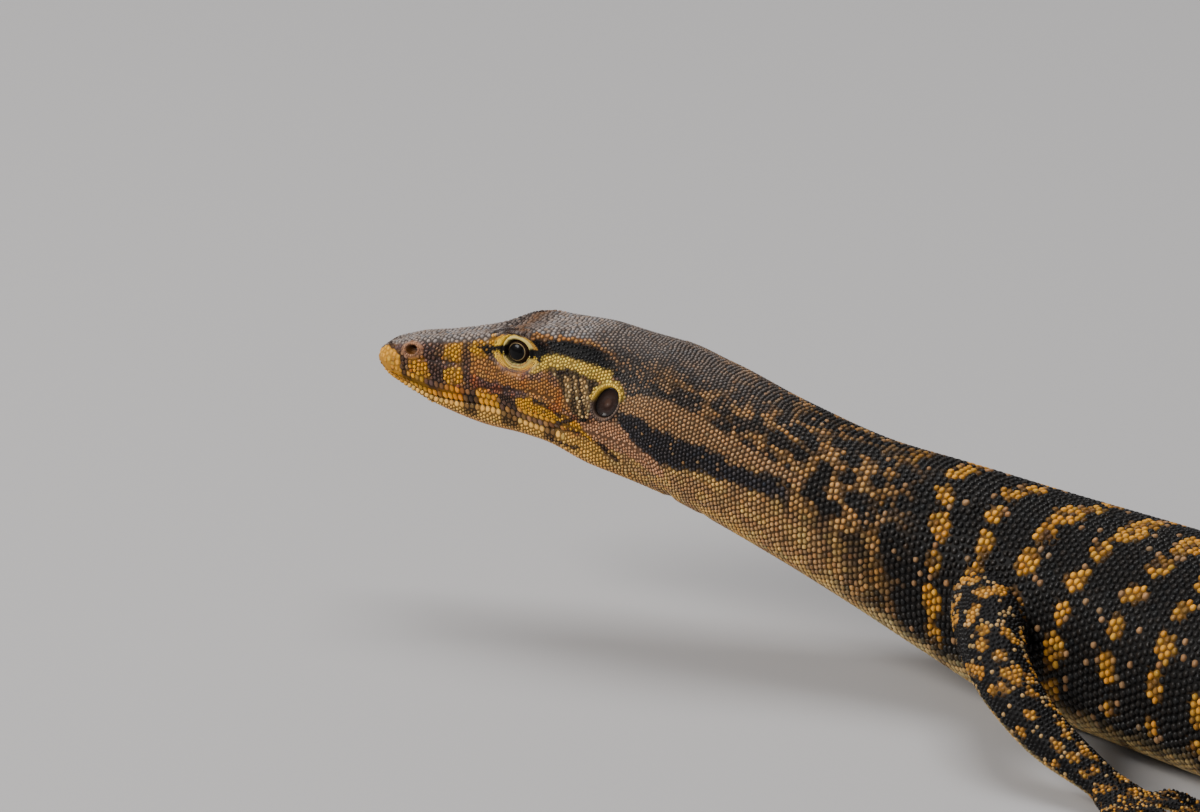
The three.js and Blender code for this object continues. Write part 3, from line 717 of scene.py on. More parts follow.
def body_colour(s, v, side, speck):
    """Black back with cross rows of pale spots, a pale barred belly and a banded tail."""
    girth = half_girth(s)
    wave = 5 * noise(s * 0.03, v * 3 + side, 8)
    row = np.where(s < 560, 24.0, 30.0)
    phase = ((s + wave) / row) % 1
    index = np.floor((s + wave) / row)
    spots = (v * girth + 6 * chance(index, side, 4)) / 12
    ring = np.hypot((phase - 0.5) * row / 4.6, (spots % 1 - 0.5) * 12 / 4.6)
    ring = ring + 0.3 * noise(s * 0.3, v * girth * 0.3 + 40 * side, 31)
    on_back = smooth(196, 226, s) * smooth(0.64, 0.52, v)
    size = 0.7 + 0.4 * chance(index, np.floor(spots), 2)
    spot = smooth(size + 0.16, size - 0.16, ring) * on_back
    heart = smooth(0.42, 0.22, ring) * on_back * (chance(index, np.floor(spots), 9) > 0.4)
    c = mixed(np.broadcast_to(COAL, (len(s), 3)), DUSK, smooth(250, 140, s) * 0.9)
    near, _ = cells(s / 7.5, v * girth / 7.5 + 50 * side, 17)
    net = smooth(0.42, 0.58, near + 0.16 * noise(s * 0.4, v * girth * 0.4, 11))
    net = net * smooth(222, 192, s) * smooth(108, 132, s)
    c = mixed(c, mixed(TAN, YELLOW, 0.25), net * smooth(-0.1, 0.2, v) * np.where(speck > 0.3, 0.95, 0.2))
    c = mixed(c, mixed(OCHRE, YELLOW, 0.6), spot * np.where(speck > 0.12, 1.0, 0.3))
    c = mixed(c, UMBER, heart * 0.85)
    c = mixed(c, TAN, (speck > 0.93) * smooth(112, 130, s) * 0.7 * (1 - spot))
    c = mixed(c, GREY, smooth(0.0, 0.6, speck) * smooth(180, 130, s) * 0.3)
    c = mixed(c, TAN, (speck > 0.7) * smooth(170, 120, s) * smooth(0.06, 0.14, v) * 0.42)
    band = smooth(0.16, 0.1, np.abs(phase - 0.5) - 0.03 * noise(s * 0.4, v * 20, 6)) * smooth(600, 720, s)
    c = mixed(c, mixed(OCHRE, YELLOW, 0.4), band * (0.5 + 0.4 * smooth(0.15, 0.4, v)))
    belly = smooth(0.6, 0.72, v + 0.03 * noise(s * 0.2, v * 12, 1)) * smooth(860, 640, s)
    bar = smooth(0.12, 0.07, np.abs(phase - 0.5)) * smooth(0.96, 0.8, v) * smooth(190, 240, s)
    return mixed(mixed(c, BELLY, belly), UMBER, bar * belly * 0.75)


def eye_colours(c, x, y):
    """The yellow lids, the black wedges before and behind the eye, and the dark line under the brow."""
    rim = share_of_rim("eye", x, y)
    ring = np.hypot((x + 0.3) / 9.9, (y + 0.2) / 6.1) + 0.03 * noise(x * 0.8, y * 0.8, 3)
    c = mixed(c, LID, smooth(1.03, 0.97, ring))
    c = mixed(c, OCHRE, smooth(1.03, 0.97, ring) * smooth(2, 7, x) * smooth(0, 2, y) * 0.7)
    c = mixed(c, GREY, bell(ring, 1.12, 0.07) * smooth(-1, -4, y) * 0.6)
    c = mixed(c, LID_EDGE, smooth(1.3, 1.24, rim))
    c = mixed(c, DEEP_BROWN_AND_SHADE, bell(ring, 1.04, 0.035) * smooth(-2, 2, y + 0.3 * x) * 0.7)
    c = mixed(c, DEEP_BROWN_AND_SHADE, bell(rim, 1.32, 0.035) * 0.8)
    front = np.clip((-x - 4.4) / 9.5, 0, 1)
    wedge = smooth(0.35, -0.35, np.abs(y + 0.2) - 2.2 * (1 - front)) * smooth(-4.4, -5.0, x)
    c = mixed(c, BLACK, wedge * (front < 0.97))
    rear = smooth(0.4, -0.4, np.abs(y) - 1.7 - 0.08 * (x - 5))
    c = mixed(c, BLACK, smooth(4.8, 5.4, x) * rear * smooth(13, 10, x))
    arch = y - brow_line(x)
    c = mixed(c, mixed(UMBER, OCHRE, 0.25), bell(arch, 1.3, 0.5) * smooth(16, 11, np.abs(x)) * 0.8)
    dots = 0.7 + 0.3 * np.sin(x * 2 * pi / 1.15)
    c = mixed(c, DEEP_BROWN_AND_SHADE, smooth(1.1, 0.7, np.abs(arch)) * smooth(16, 13, np.abs(x)) * dots)
    return mixed(c, paint(24, 16, 12), smooth(1.05, 1.0, rim) * 0.95)


def marks(s, angle, speck):
    """The colour of the animal at each place of its body, with painted sky sheen on crown and nape and
    painted shade inside the nostrils.
    """
    v, side = np.abs(angle) / pi, np.sign(angle)
    neck = smooth(98, 108, s + 6 * noise(v * 8, s * 0.1, 7) + 8 * smooth(0.3, 0.1, v))
    body = body_colour(s, v, side, speck)
    low = smooth(0.4, 0.48, v + 0.02 * noise(s * 0.2, v * 30, 23)) * smooth(215, 160, s)
    tan = mixed(TAN, mixed(YELLOW, CREAM, 0.5), smooth(-0.5, 0.9, noise(s * 0.3, v * 30, 44)))
    body = mixed(body, tan, low * np.where(speck > 0.88, 0.45, 1.0))
    # Painted sky sheen on the nape: its top greyed towards the crown's sheen-lightened colour.
    nape = smooth(0.2, 0.05, v) * smooth(170, 115, s)
    body = mixed(body, mixed(SHEENED_CROWN, UMBER, 0.3), nape * 0.75)
    c = mixed(head_colour(s, v, speck), body, neck)
    for colour, line in NECK_MARKS:
        c = mixed(c, colour, stripe(s, v, line) * np.where(speck > 0.92, 0.4, 1.0))
    places = organ_places(s, angle, base_point(s, angle))
    near = np.hypot(*places["eye"].T) < 16
    c = np.array(c)
    c[near] = eye_colours(c[near], *places["eye"][near].T)
    x, y = places["nostril"].T
    nostril = share_of_rim("nostril", x, y)
    rim = mixed(mixed(PINK, OCHRE, 0.35), MAUVE, 0.5 + 0.3 * noise(x, y, 4))
    c = mixed(c, rim, smooth(2.5, 1.5, nostril) * 0.9)
    # Painted shade inside the nostril, with painted light on its lower front wall.
    c = mixed(c, mixed(DEEP_BROWN_AND_SHADE, OCHRE, 0.35 * smooth(1.5, -1.5, y + 0.6 * x)), smooth(1.2, 0.95, nostril))
    x, y = places["ear"].T
    ear = share_of_rim("ear", x, y)
    arch = smooth(-0.1, 0.45, y / EAR["up"] - 0.45 * x / EAR["along"])
    c = mixed(c, mixed(GREY, UMBER, 0.55), smooth(1.32, 1.2, ear) * (1 - arch) * 0.9)
    c = mixed(c, STRAW, smooth(1.5, 1.38, ear) * arch * np.where(speck > 0.92, 0.4, 1.0))
    return mixed(c, paint(44, 30, 24), smooth(1.04, 0.94, ear) * 0.9)


def leg_marks(reach, angle, seed, speck):
    """Black above with pale specks, paler inside; reach is the way down the leg in millimetres."""
    under = smooth(-0.35, -0.75, np.cos(angle))
    near, own = cells(reach / 8 + seed * 31, angle * 1.5 + 7, 27)
    c = np.broadcast_to(BLACK, (len(reach), 3))
    spot = smooth(0.36, 0.24, near) * (own > 0.25)
    c = mixed(c, mixed(OCHRE, YELLOW, 0.5), spot * np.where(speck > 0.12, 1.0, 0.3))
    c = mixed(c, mixed(OCHRE, CREAM, 0.5), (speck > 0.9) * 0.7)
    return mixed(c, BELLY, under * 0.8)


# Meshes.
MARKS = "Marks"
BAKE = "OFBake"
VOXEL = 1.75
ROOT_REACH = 26
ROOT_BLEND = 7


def linked(name, data):
    """Puts an object with this data into the scene."""
    thing = bpy.data.objects.new(name, data)
    bpy.context.scene.collection.objects.link(thing)
    return thing


def mesh_of(name, bm):
    mesh = bpy.data.meshes.new(name)
    bm.to_mesh(mesh)
    bm.free()
    return mesh


def dressed(name, mesh, material):
    """A smooth object of one material."""
    mesh.shade_smooth()
    mesh.materials.append(material)
    return linked(name, mesh)


def new_object(name, bm, material):
    """Turns a bmesh in millimetres into an object of the scene, in metres."""
    bmesh.ops.scale(bm, vec=(MM, MM, MM), verts=bm.verts)
    return dressed(name, mesh_of(name, bm), material)


def close_up(bm, distance):
    """Joins a bent sheet at its seam and closes its ends."""
    bmesh.ops.remove_doubles(bm, verts=bm.verts, dist=distance)
    bmesh.ops.holes_fill(bm, edges=[e for e in bm.edges if e.is_boundary])
    bmesh.ops.recalc_face_normals(bm, faces=bm.faces)


def set_points(bm, points):
    for vert, point in zip(bm.verts, points.tolist()):
        vert.co = point


def set_corners(mesh, colours, uvs):
    """Gives each corner of a mesh its colour and its place on the map."""
    layer = mesh.color_attributes.get(MARKS) or mesh.color_attributes.new(MARKS, "FLOAT_COLOR", "CORNER")
    rgba = np.ones((len(colours), 4))
    rgba[:, :3] = np.clip(colours, 0, 1)
    layer.data.foreach_set("color", rgba.ravel())
    uv = mesh.uv_layers.get(BAKE) or mesh.uv_layers.new(name=BAKE)
    uv.data.foreach_set("uv", np.asarray(uvs, float).ravel())


def grid_sheet(rows, columns):
    """A flat sheet of vertices that carry a row and a column position, to be bent into a tube."""
    bm = bmesh.new()
    bmesh.ops.create_grid(bm, x_segments=len(rows) - 1, y_segments=len(columns) - 1, size=1)
    for vert in bm.verts:
        i = round((vert.co.x + 1) / 2 * (len(rows) - 1))
        j = round((vert.co.y + 1) / 2 * (len(columns) - 1))
        vert.co = (rows[i], columns[j], 0)
    return bm


def sheet_places(bm):
    bm.verts.ensure_lookup_table()
    at = np.array([vert.co[:2] for vert in bm.verts])
    return at[:, 0], at[:, 1]


def refine(bm, share, limit):
    """Splits the faces near an organ into smaller ones."""
    near = [f for f in bm.faces if min(share[v.index] for v in f.verts) < limit]
    edges = list({e for f in near for e in f.edges})
    bmesh.ops.subdivide_edges(bm, edges=edges, cuts=1, use_grid_fill=True)
    bm.verts.index_update()


def corner_places(bm):
    """The sheet position of every face corner, which the seam needs on both of its sides."""
    return np.array([(loop.vert.co.x, loop.vert.co.y) for face in bm.faces for loop in face.loops])


SKIN_U = [(0, 0.01), (112, 0.26), (236, 0.4), (590, 0.66), (1400, 0.99)]


def skin_uv(s, angle):
    return np.stack([np.interp(s, *np.array(SKIN_U, float).T), 0.01 + 0.6 * (angle / (2 * pi) + 0.5)], -1)


def leg_uv(number, part, share, angle):
    """Every leg part has its own strip of the map's upper end."""
    wide, tall = 0.24, 0.05
    u = 0.01 + number * 0.245 + wide * np.clip(share, 0, 1) * 0.98
    return np.stack([u, 0.63 + part * 0.052 + tall * ((angle / (2 * pi)) % 1)], -1)


# Rows of the skin's sheet as first station, last station and count, close where the head is.
SKIN_END = 1399.5
SKIN_ROWS = [(0.02, 8, 20), (8, 112, 126), (112, 236, 64), (236, 600, 104), (600, SKIN_END, 110)]
SKIN_COLUMNS = 58


def trunk_rows():
    spans = [np.linspace(first, last, count, endpoint=False) for first, last, count in SKIN_ROWS]
    return np.concatenate(spans + [[SKIN_END]])


def trunk_columns():
    """Angles of the sheet's columns, closer together at the mouth and the eyes."""
    v = np.linspace(0, 1, 2001)
    weight = np.cumsum(1 + 1.6 * bell(v, MOUTH_V, 0.03) + 0.5 * bell(v, 0.3, 0.12))
    weight = (weight - weight[0]) / (weight[-1] - weight[0])
    side = np.interp(np.linspace(0, 1, SKIN_COLUMNS + 1), weight, v)
    return np.concatenate([-side[:0:-1], side]) * pi


def trunk_mesh(depth):
    """Head, neck, trunk and tail as one closed sheet."""
    bm = grid_sheet(trunk_rows(), trunk_columns())
    for limit in (2.3, 1.75):
        s, angle = sheet_places(bm)
        eye, nostril, ear = organ_shares(s, angle, base_point(s, angle))
        refine(bm, np.min([eye, nostril * 0.7, ear * 1.3], axis=0), limit)
    s, angle = sheet_places(bm)
    corners = corner_places(bm)
    set_points(bm, skin_point(s, angle, depth))
    mesh = mesh_of("trunk", bm)
    s, angle = corners.T
    colour = marks(s, angle, np.full(len(s), 0.5))
    eye, nostril, ear = organ_shares(s, angle, base_point(s, angle))
    tip = 0.6 * smooth(13.5, 10.5, s) * smooth(0.16, 0.24, np.abs(angle) / pi)
    bare = np.max([smooth(2.1, 1.8, eye), smooth(2.2, 1.8, nostril), smooth(1.25, 1.1, ear), tip], axis=0)
    colour = mixed(mixed(colour * 0.3, BLACK, 0.35), colour, bare)
    set_corners(mesh, colour, skin_uv(s, angle))
    bm = bmesh.new()
    bm.from_mesh(mesh)
    close_up(bm, 0.01)
    bm.to_mesh(mesh)
    bm.free()
    return mesh


def thinned(radii, depth, t):
    return np.maximum(radii(t) - depth, 0.2)


def leg_mesh(number, leg, depth):
    """One leg with its palm and digits, melted together."""
    bm = bmesh.new()
    for path, radii, first, last in leg.parts():
        part = grid_sheet(np.linspace(first, last, 60), np.linspace(-pi, pi, 41))
        t, angle = sheet_places(part)
        set_points(part, tube_point(path, partial(thinned, radii, depth), t, angle))
        close_up(part, 0.01)
        mesh = mesh_of("part", part)
        bm.from_mesh(mesh)
        bpy.data.meshes.remove(mesh)
    thing = linked("leg", mesh_of("leg", bm))
    melt = thing.modifiers.new("Melt", "REMESH")
    melt.mode = "VOXEL"
    melt.voxel_size = VOXEL
    melt.use_smooth_shade = True
    soften = thing.modifiers.new("Soften", "CORRECTIVE_SMOOTH")
    soften.iterations = 4
    soften.use_only_smooth = True
    made = applied(thing)
    bpy.data.objects.remove(thing)
    reach, angle, part, share = leg_places(leg, vertex_points(made))
    corner = np.empty(len(made.loops), int)
    made.loops.foreach_get("vertex_index", corner)
    colours = leg_marks(reach, angle, number * 0.37, np.zeros(len(reach)))
    set_corners(made, colours[corner], leg_uv(number, part[corner], share[corner], angle[corner]))
    return made


def applied(thing):
    """The mesh of an object with its modifiers carried out."""
    graph = bpy.context.evaluated_depsgraph_get()
    return bpy.data.meshes.new_from_object(thing.evaluated_get(graph))


def vertex_points(mesh):
    flat = np.empty(len(mesh.vertices) * 3)
    mesh.vertices.foreach_get("co", flat)
    return flat.reshape(-1, 3)


def leg_places(leg, points):
    """For each point the way down the leg, the angle round it, its part and its share of that part."""
    reach = np.zeros(len(points))
    angle, part, share = reach.copy(), reach.copy(), reach.copy()
    best = np.full(len(points), 1e9)
    start = 0.0
    for k, (path, radii, first, last) in enumerate(leg.parts()):
        t = np.linspace(first, last, 80)
        line = path(t)
        way = lengths_along(line)
        gap = np.linalg.norm(points[:, None] - line[None], axis=2)
        nearest = gap.argmin(1)
        miss = gap[np.arange(len(points)), nearest] / radii(t)[nearest].mean(1)
        mine = miss < best
        _, across, up = path_axes(path, t)
        off = points - line[nearest]
        turn = np.arctan2((off * across[nearest]).sum(1), (off * up[nearest]).sum(1))
        reach[mine], angle[mine] = (start + way[nearest])[mine], turn[mine]
        part[mine], share[mine], best[mine] = k, (nearest / 79)[mine], miss[mine]
        if k < 2:
            start += way[-1]
    return reach, angle, part, share


def surface_tree(mesh, unit_length=1.0):
    """A search tree over the faces of a mesh, its points divided by a unit of length."""
    points = vertex_points(mesh) / unit_length
    return BVHTree.FromPolygons(points.tolist(), [tuple(p.vertices) for p in mesh.polygons])


def skin_mesh(depth):
    """Trunk and legs joined into one closed skin, softened where the legs leave the body."""
    trunk = trunk_mesh(depth)
    body = linked("skin", trunk)
    legs = []
    for number, (_, _, leg) in enumerate(LEGS):
        piece = linked("leg", leg_mesh(number, leg, depth))
        legs.append(piece)
        join = body.modifiers.new("Join", "BOOLEAN")
        join.operation = "UNION"
        join.solver = "EXACT"
        join.object = piece
    made = applied(body)
    for piece in legs + [body]:
        bpy.data.objects.remove(piece)
    bm = bmesh.new()
    bm.from_mesh(made)
    roots = point_tree(np.concatenate([leg.path(np.linspace(0, 2.4, 24)) for _, _, leg in LEGS]))
    side = surface_tree(trunk)
    bm.verts.ensure_lookup_table()
    near = [
        vert for vert in bm.verts
        if roots.find(vert.co)[2] <= ROOT_REACH and side.find_nearest(vert.co)[3] < ROOT_BLEND
    ]
    for _ in range(14):
        bmesh.ops.smooth_vert(bm, verts=near, factor=0.5, use_axis_x=True, use_axis_y=True, use_axis_z=True)
    for vert in bm.verts:
        vert.co.z = max(vert.co.z, FLOOR_GAP)
    return bm


# Scales. A coat is a set of scales held as one array for each of their qualities.
DIRECTIONS = 8
MOST_TRIANGLES = 190000
PATCH = 0.0015
USUAL_LOOKS = {"round": 0.35, "gap": 0.16, "keel": 0.0, "lean": 0.12}


def scale_shape(segments, tiers):
    """One scale as (vertices, faces): a low dome over a ring of radius 1, its top at height 1."""
    bm = bmesh.new()
    bmesh.ops.create_circle(bm, cap_ends=True, segments=segments, radius=1)
    bmesh.ops.rotate(bm, matrix=Matrix.Rotation(pi / segments, 3, "Z"), verts=bm.verts)
    top = next(iter(bm.faces))
    for inset, lift in tiers:
        bmesh.ops.inset_region(bm, faces=[top], thickness=inset, use_boundary=True)
        bmesh.ops.translate(bm, vec=(0, 0, lift), verts=top.verts)
    bm.verts.index_update()
    if top.normal.z < 0:
        bmesh.ops.reverse_faces(bm, faces=bm.faces)
    verts = np.array([vert.co[:] for vert in bm.verts])
    faces = [[vert.index for vert in face.verts] for face in bm.faces]
    bm.free()
    return verts, faces


def lay_scales(name, shape, coat, material):
    """Joins a copy of the shape at every place of a coat into one object."""
    verts, faces = shape
    count, own = len(coat["point"]), len(verts)
    turn, reach = np.arctan2(verts[:, 1], verts[:, 0]), np.hypot(verts[:, 0], verts[:, 1])
    way = np.round(turn / (2 * pi / DIRECTIONS) - 0.5).astype(int) % DIRECTIONS
    fit = coat["fit"]
    fit = fit + (np.minimum(fit, fit.mean(1, keepdims=True)) - fit) * coat["round"][:, None]
    radius = np.maximum(fit - coat["gap"][:, None], fit * 0.35)[:, way] * reach
    x, y = radius * np.cos(turn), radius * np.sin(turn)
    wide = fit.mean(1, keepdims=True)
    keel = coat["keel"][:, None] * (0.9 - 1.8 * np.abs(y / wide))
    lift = verts[:, 2] * (1 + keel + coat["lean"][:, None] * x / wide)
    z = np.minimum(coat["size"][:, 2:3], wide * 0.8) * lift - (verts[:, 2] <= 0) * 0.25
    back, side = tangents(coat)
    co = coat["point"][:, None]
    for axis, amount in ((back, x), (side, y), (coat["out"], z)):
        co = co + axis[:, None] * amount[..., None]
    co[..., 2] = np.maximum(co[..., 2], 0.0)
    corners = np.array([i for face in faces for i in face])
    sizes = np.array([len(face) for face in faces])
    index = (np.arange(count)[:, None] * own + corners).ravel()
    starts = np.cumsum(np.concatenate([[0], np.tile(sizes, count)[:-1]]))
    mesh = bpy.data.meshes.new(name)
    mesh.vertices.add(count * own)
    mesh.vertices.foreach_set("co", (co.reshape(-1, 3) * MM).ravel())
    mesh.loops.add(len(index))
    mesh.loops.foreach_set("vertex_index", index)
    mesh.polygons.add(len(starts))
    mesh.polygons.foreach_set("loop_start", starts)
    mesh.polygons.foreach_set("loop_total", np.tile(sizes, count))
    mesh.update(calc_edges=True)
    edge = 1 - 0.62 * smooth(0.6, 1.0, reach)[None, :, None] * np.ones((count, 1, 1))
    colour = (coat["colour"][:, None] * edge)[:, corners].reshape(-1, 3)
    patch = coat["map"][:, None] + PATCH * verts[:, :2]
    set_corners(mesh, colour, patch[:, corners].reshape(-1, 2))
    return dressed(name, mesh, material)


def tangents(coat):
    """Each scale's way to the tail and way to its side, flat on the skin."""
    back, out = coat["back"], coat["out"]
    back = unit(back - out * (back * out).sum(1, keepdims=True))
    return back, np.cross(out, back)


def point_tree(points):
    tree = KDTree(len(points))
    for k, point in enumerate(points.tolist()):
        tree.insert(point, k)
    tree.balance()
    return tree


def uncrowded(coat):
    """Drops the scales that lie too close to one before them."""
    room = coat["size"][:, :2].mean(1)
    tree = point_tree(coat["point"])
    keep = np.ones(len(room), bool)
    for k, point in enumerate(coat["point"].tolist()):
        for _, other, gap in tree.find_range(point, room[k] * 1.6):
            if other < k and keep[other] and gap < 0.6 * (room[k] + room[other]):
                keep[k] = False
                break
    return kept(coat, keep)


def fitted(coat):
    """Gives every scale the room that its neighbours leave it, in eight directions."""
    points = coat["point"]
    tree = point_tree(points)
    near = np.array([[other for _, other, _ in tree.find_n(point, 13)][1:] for point in points.tolist()])
    back, side = tangents(coat)
    off = points[near] - points[:, None]
    x, y = (off * back[:, None]).sum(2), (off * side[:, None]).sum(2)
    high = (off * coat["out"][:, None]).sum(2)
    turn = (np.arange(DIRECTIONS) + 0.5) / DIRECTIONS * 2 * pi
    toward = x[..., None] * np.cos(turn) + y[..., None] * np.sin(turn)
    level = (np.abs(high) < 0.75 * np.hypot(x, y))[..., None]
    room = coat["size"][:, :2].mean(1)
    share = (room[:, None] / (room[:, None] + room[near]))[..., None]
    reach = (x * x + y * y)[..., None] * share / np.maximum(toward, 1e-3)
    reach = np.where((toward > 1e-3) & level, reach, 99)
    coat["fit"] = np.minimum(reach.min(1), room[:, None] * 1.3)
    return coat


def settled(tree, points, reach):
    """Moves places onto the skin, and tells which of them lie within reach of it."""
    spots, normals = points.copy(), np.zeros_like(points)
    near = np.zeros(len(points), bool)
    for k, point in enumerate(points.tolist()):
        spot, normal, _, gap = tree.find_nearest(point)
        if spot is not None and gap < reach:
            spots[k], normals[k], near[k] = spot, normal, True
    return spots, normals, near


def steps(first, last, pitch, share=1.0):
    """Stations from first to last, a share of a pitch apart that may change on the way."""
    found = [first]
    while found[-1] < last:
        found.append(found[-1] + read(pitch, found[-1]) * share)
    return np.array(found[:-1])


def lattice(rng, stations, pitch, low, high, closed=False, wave=0.0, jitter=0.2):
    """Rows of places round the body, each row's places between those of the row before it."""
    found = []
    for k, s in enumerate(stations):
        turn = np.linspace(read(low, s), read(high, s), 240) * pi
        way = lengths_along(base_point(np.full(240, s), turn))
        count = max(int(round(way[-1] / read(pitch, s))), 3)
        shift = rng.uniform(-jitter, jitter, (2, count))
        spots = (np.arange(count) + 0.5 * (k % 2) + (0.0 if closed else 0.25) + shift[0]) / count * way[-1]
        angle = np.interp(spots, way, turn)
        at = s + wave * noise(spots * 0.12, np.full(count, s * 0.05), 2) + shift[1] * read(pitch, s)
        found.append(np.stack([at, angle], -1))
    return np.concatenate(found)


def split(coat, shape):
    """Splits a coat into pieces that keep under the number of triangles."""
    own = sum(len(face) - 2 for face in shape[1])
    pieces = -(-len(coat["point"]) * own // MOST_TRIANGLES)
    order = np.argsort(coat["place"][:, 0] + 1e-3 * coat["point"][:, 0], kind="stable")
    for part in np.array_split(order, pieces):
        yield {name: value[part] for name, value in coat.items()}


def both_sides(places):
    return np.concatenate([places, places * (1, -1)])


def coat_of(tree, places, size, rng, reach=5.0, **looks):
    """Everything that a set of scales needs, from their places on the body."""
    s, angle = places.T
    s = np.maximum(s, 0.3)
    at, back, _, _ = frame_of(base_point, s, angle)
    spot, out, near = settled(tree, at, reach)
    coat = {
        "point": spot, "back": back, "out": out, "size": np.stack(size(s, angle), -1),
        "colour": varied(marks(s, angle, rng.random(len(s))), rng), "place": np.stack([s, angle], -1),
    }
    return kept(looked(coat, s, **looks), near)


def looked(coat, s, **looks):
    """Adds to a coat how round its scales are, the gap between them, their keel and their lean."""
    for look, usual in USUAL_LOOKS.items():
        coat[look] = np.broadcast_to(read(looks.get(look, usual), s), len(s)).astype(float)
    return coat


def varied(colour, rng):
    """Each scale a little lighter or darker, warmer or cooler than its neighbours."""
    count = len(colour)
    warm = rng.normal(0, 0.06, (count, 1)) * np.array([1.0, 0.0, -1.0])
    return colour * (rng.uniform(0.72, 1.25, (count, 1)) + warm)


def kept(coat, mask):
    return {name: value[mask] for name, value in coat.items()}


def joined(*coats):
    return {name: np.concatenate([coat[name] for coat in coats]) for name in coats[0]}


def spread_map(coat, first, last):
    """Places a coat's scales on their own unwrap of that length of the skin."""
    s, angle = coat["place"].T
    u = np.clip((s - first) / (last - first), 0, 1)
    coat["map"] = np.stack([0.01 + 0.98 * u, 0.01 + 0.98 * (angle / (2 * pi) + 0.5)], -1)
    return coat


def sized(radius, height, pitch=1.0):
    """The sizes of a coat's scales, as shares of a pitch that may change along the body."""

    def size(s, angle):
        step = read(pitch, s) + 0 * s
        return step * radius[0], step * radius[1], step * read(height, s)

    return size


# Pitches of the head's scales by station, and the heights and gaps of those on its sides.
CROWN_PITCH = straight((0, 1.1), (10, 1.5), (30, 1.9), (70, 2.0), (90, 1.6), (116, 1.35))
SIDE_PITCH = straight((0, 1.6), (10, 2.1), (20, 1.6), (44, 1.5), (52, 1.25), (116, 1.3))
LOW_PITCH = straight((0, 1.1), (10, 1.4), (116, 1.5))
LIP_PITCH = straight((0, 1.1), (8, 1.5), (26, 2.2), (80, 2.4))
SIDE_HEIGHT = straight((0, 0.08), (11, 0.1), (17, 0.24))
SIDE_GAP = straight((0, 0.03), (11, 0.04), (17, 0.13))
UPPER_LIP_V, LOWER_LIP_V = 0.571, 0.636


def second_lip(s):
    """Where the row of plates over the upper lip lies."""
    return UPPER_LIP_V - 2.5 / half_girth(s)


def sides_end(s):
    return second_lip(s) - 1.0 / half_girth(s)


def head_coats(tree, rng):
    """Plates on the crown, scales on the sides, labials, lid granules and small scales below."""
    crown = lattice(rng, steps(1.2, HEAD_END, CROWN_PITCH, 0.88), CROWN_PITCH, -0.22, 0.22, wave=1.2)
    sides = lattice(rng, steps(1.0, HEAD_END, SIDE_PITCH, 0.88), SIDE_PITCH, 0.225, sides_end, wave=0.8)
    below = lattice(rng, steps(2.0, HEAD_END, LOW_PITCH, 0.9), LOW_PITCH, 0.665, 0.995, wave=0.5)
    lips = []
    for row, start in ((UPPER_LIP_V, 1.4), (LOWER_LIP_V, 1.4), (second_lip, 8.5)):
        stations = steps(start, MOUTH_END + 2, LIP_PITCH)
        lips.append(both_sides(np.stack([stations, read(row, stations) * np.full(len(stations), pi)], -1)))
    corner = lattice(rng, steps(MOUTH_END + 3, HEAD_END, 1.2), 1.3, 0.545, 0.66)
    plate = sized((0.6, 0.6), 0.11, LIP_PITCH)
    coats = [coat_of(tree, row, plate, rng, round=0.0, gap=0.05, lean=0.0) for row in lips]
    side_size = sized((0.55, 0.55), SIDE_HEIGHT, SIDE_PITCH)
    crown_size, low_size = (sized((0.5, 0.5), 0.2, pitch) for pitch in (CROWN_PITCH, LOW_PITCH))
    coats += [
        fringe_coat(tree, rng),
        coat_of(tree, both_sides(sides), side_size, rng, gap=SIDE_GAP, round=0.2),
        coat_of(tree, crown, crown_size, rng, gap=0.14, round=0.15, lean=0.0),
        coat_of(tree, both_sides(below), low_size, rng),
        coat_of(tree, both_sides(corner), sized((0.62, 0.62), 0.3), rng),
    ]
    coat = joined(*coats)
    places = organ_places(*coat["place"].T, coat["point"])
    eye, nostril, ear = organ_shares(*coat["place"].T, coat["point"])
    x, y = places["eye"].T
    lids = (np.hypot((x + 0.3) / 8.6, (y + 0.2) / 6.0) < 1) | (eye < 1.6)
    over = y > brow_line(x) + 0.9
    return joined(*lid_coats(tree, rng), kept(coat, (~lids | over) & (nostril > 1.5) & (ear > 1.1)))


def fringe_coat(tree, rng):
    """The long narrow scales that fan down the cheek before the ear."""
    girth = half_girth(86.0)
    rows = np.arange(0.285, 0.46, 2.2 / girth)
    columns = np.arange(41, 68) * FRINGE_STEP
    v, lean = (grid.ravel() for grid in np.meshgrid(rows, columns))
    s = lean + FRINGE_LEAN * (v - 0.3) + rng.uniform(-0.12, 0.12, len(v))
    v = v + ((lean / FRINGE_STEP).round() % 2) * 1.1 / girth + rng.uniform(-0.003, 0.003, len(v))
    inside = stripe(s, v, CHEEK_FRINGE, 0.0) > 0.5
    places = both_sides(np.stack([s[inside], v[inside] * pi], -1))
    coat = coat_of(tree, places, sized((1.0, 0.72), 0.3), rng, round=0.1, gap=0.16)
    s, angle = coat["place"].T
    ahead = base_point(s + FRINGE_LEAN * 0.02, angle + np.sign(angle) * 0.02 * pi)
    coat["back"] = unit(ahead - base_point(s, angle))
    return coat


# Rings of granules round the openings: height, then share of the rim and radius of each ring.
RINGS = {
    "eye": (0.14, ((1.13, 0.24), (1.42, 0.28), (1.54, 0.3), (1.67, 0.34))),
    "nostril": (0.2, ((1.45, 0.42), (2.0, 0.55))),
    "ear": (0.25, ((1.09, 0.45), (1.24, 0.55))),
}
BROW_STEP = 1.15


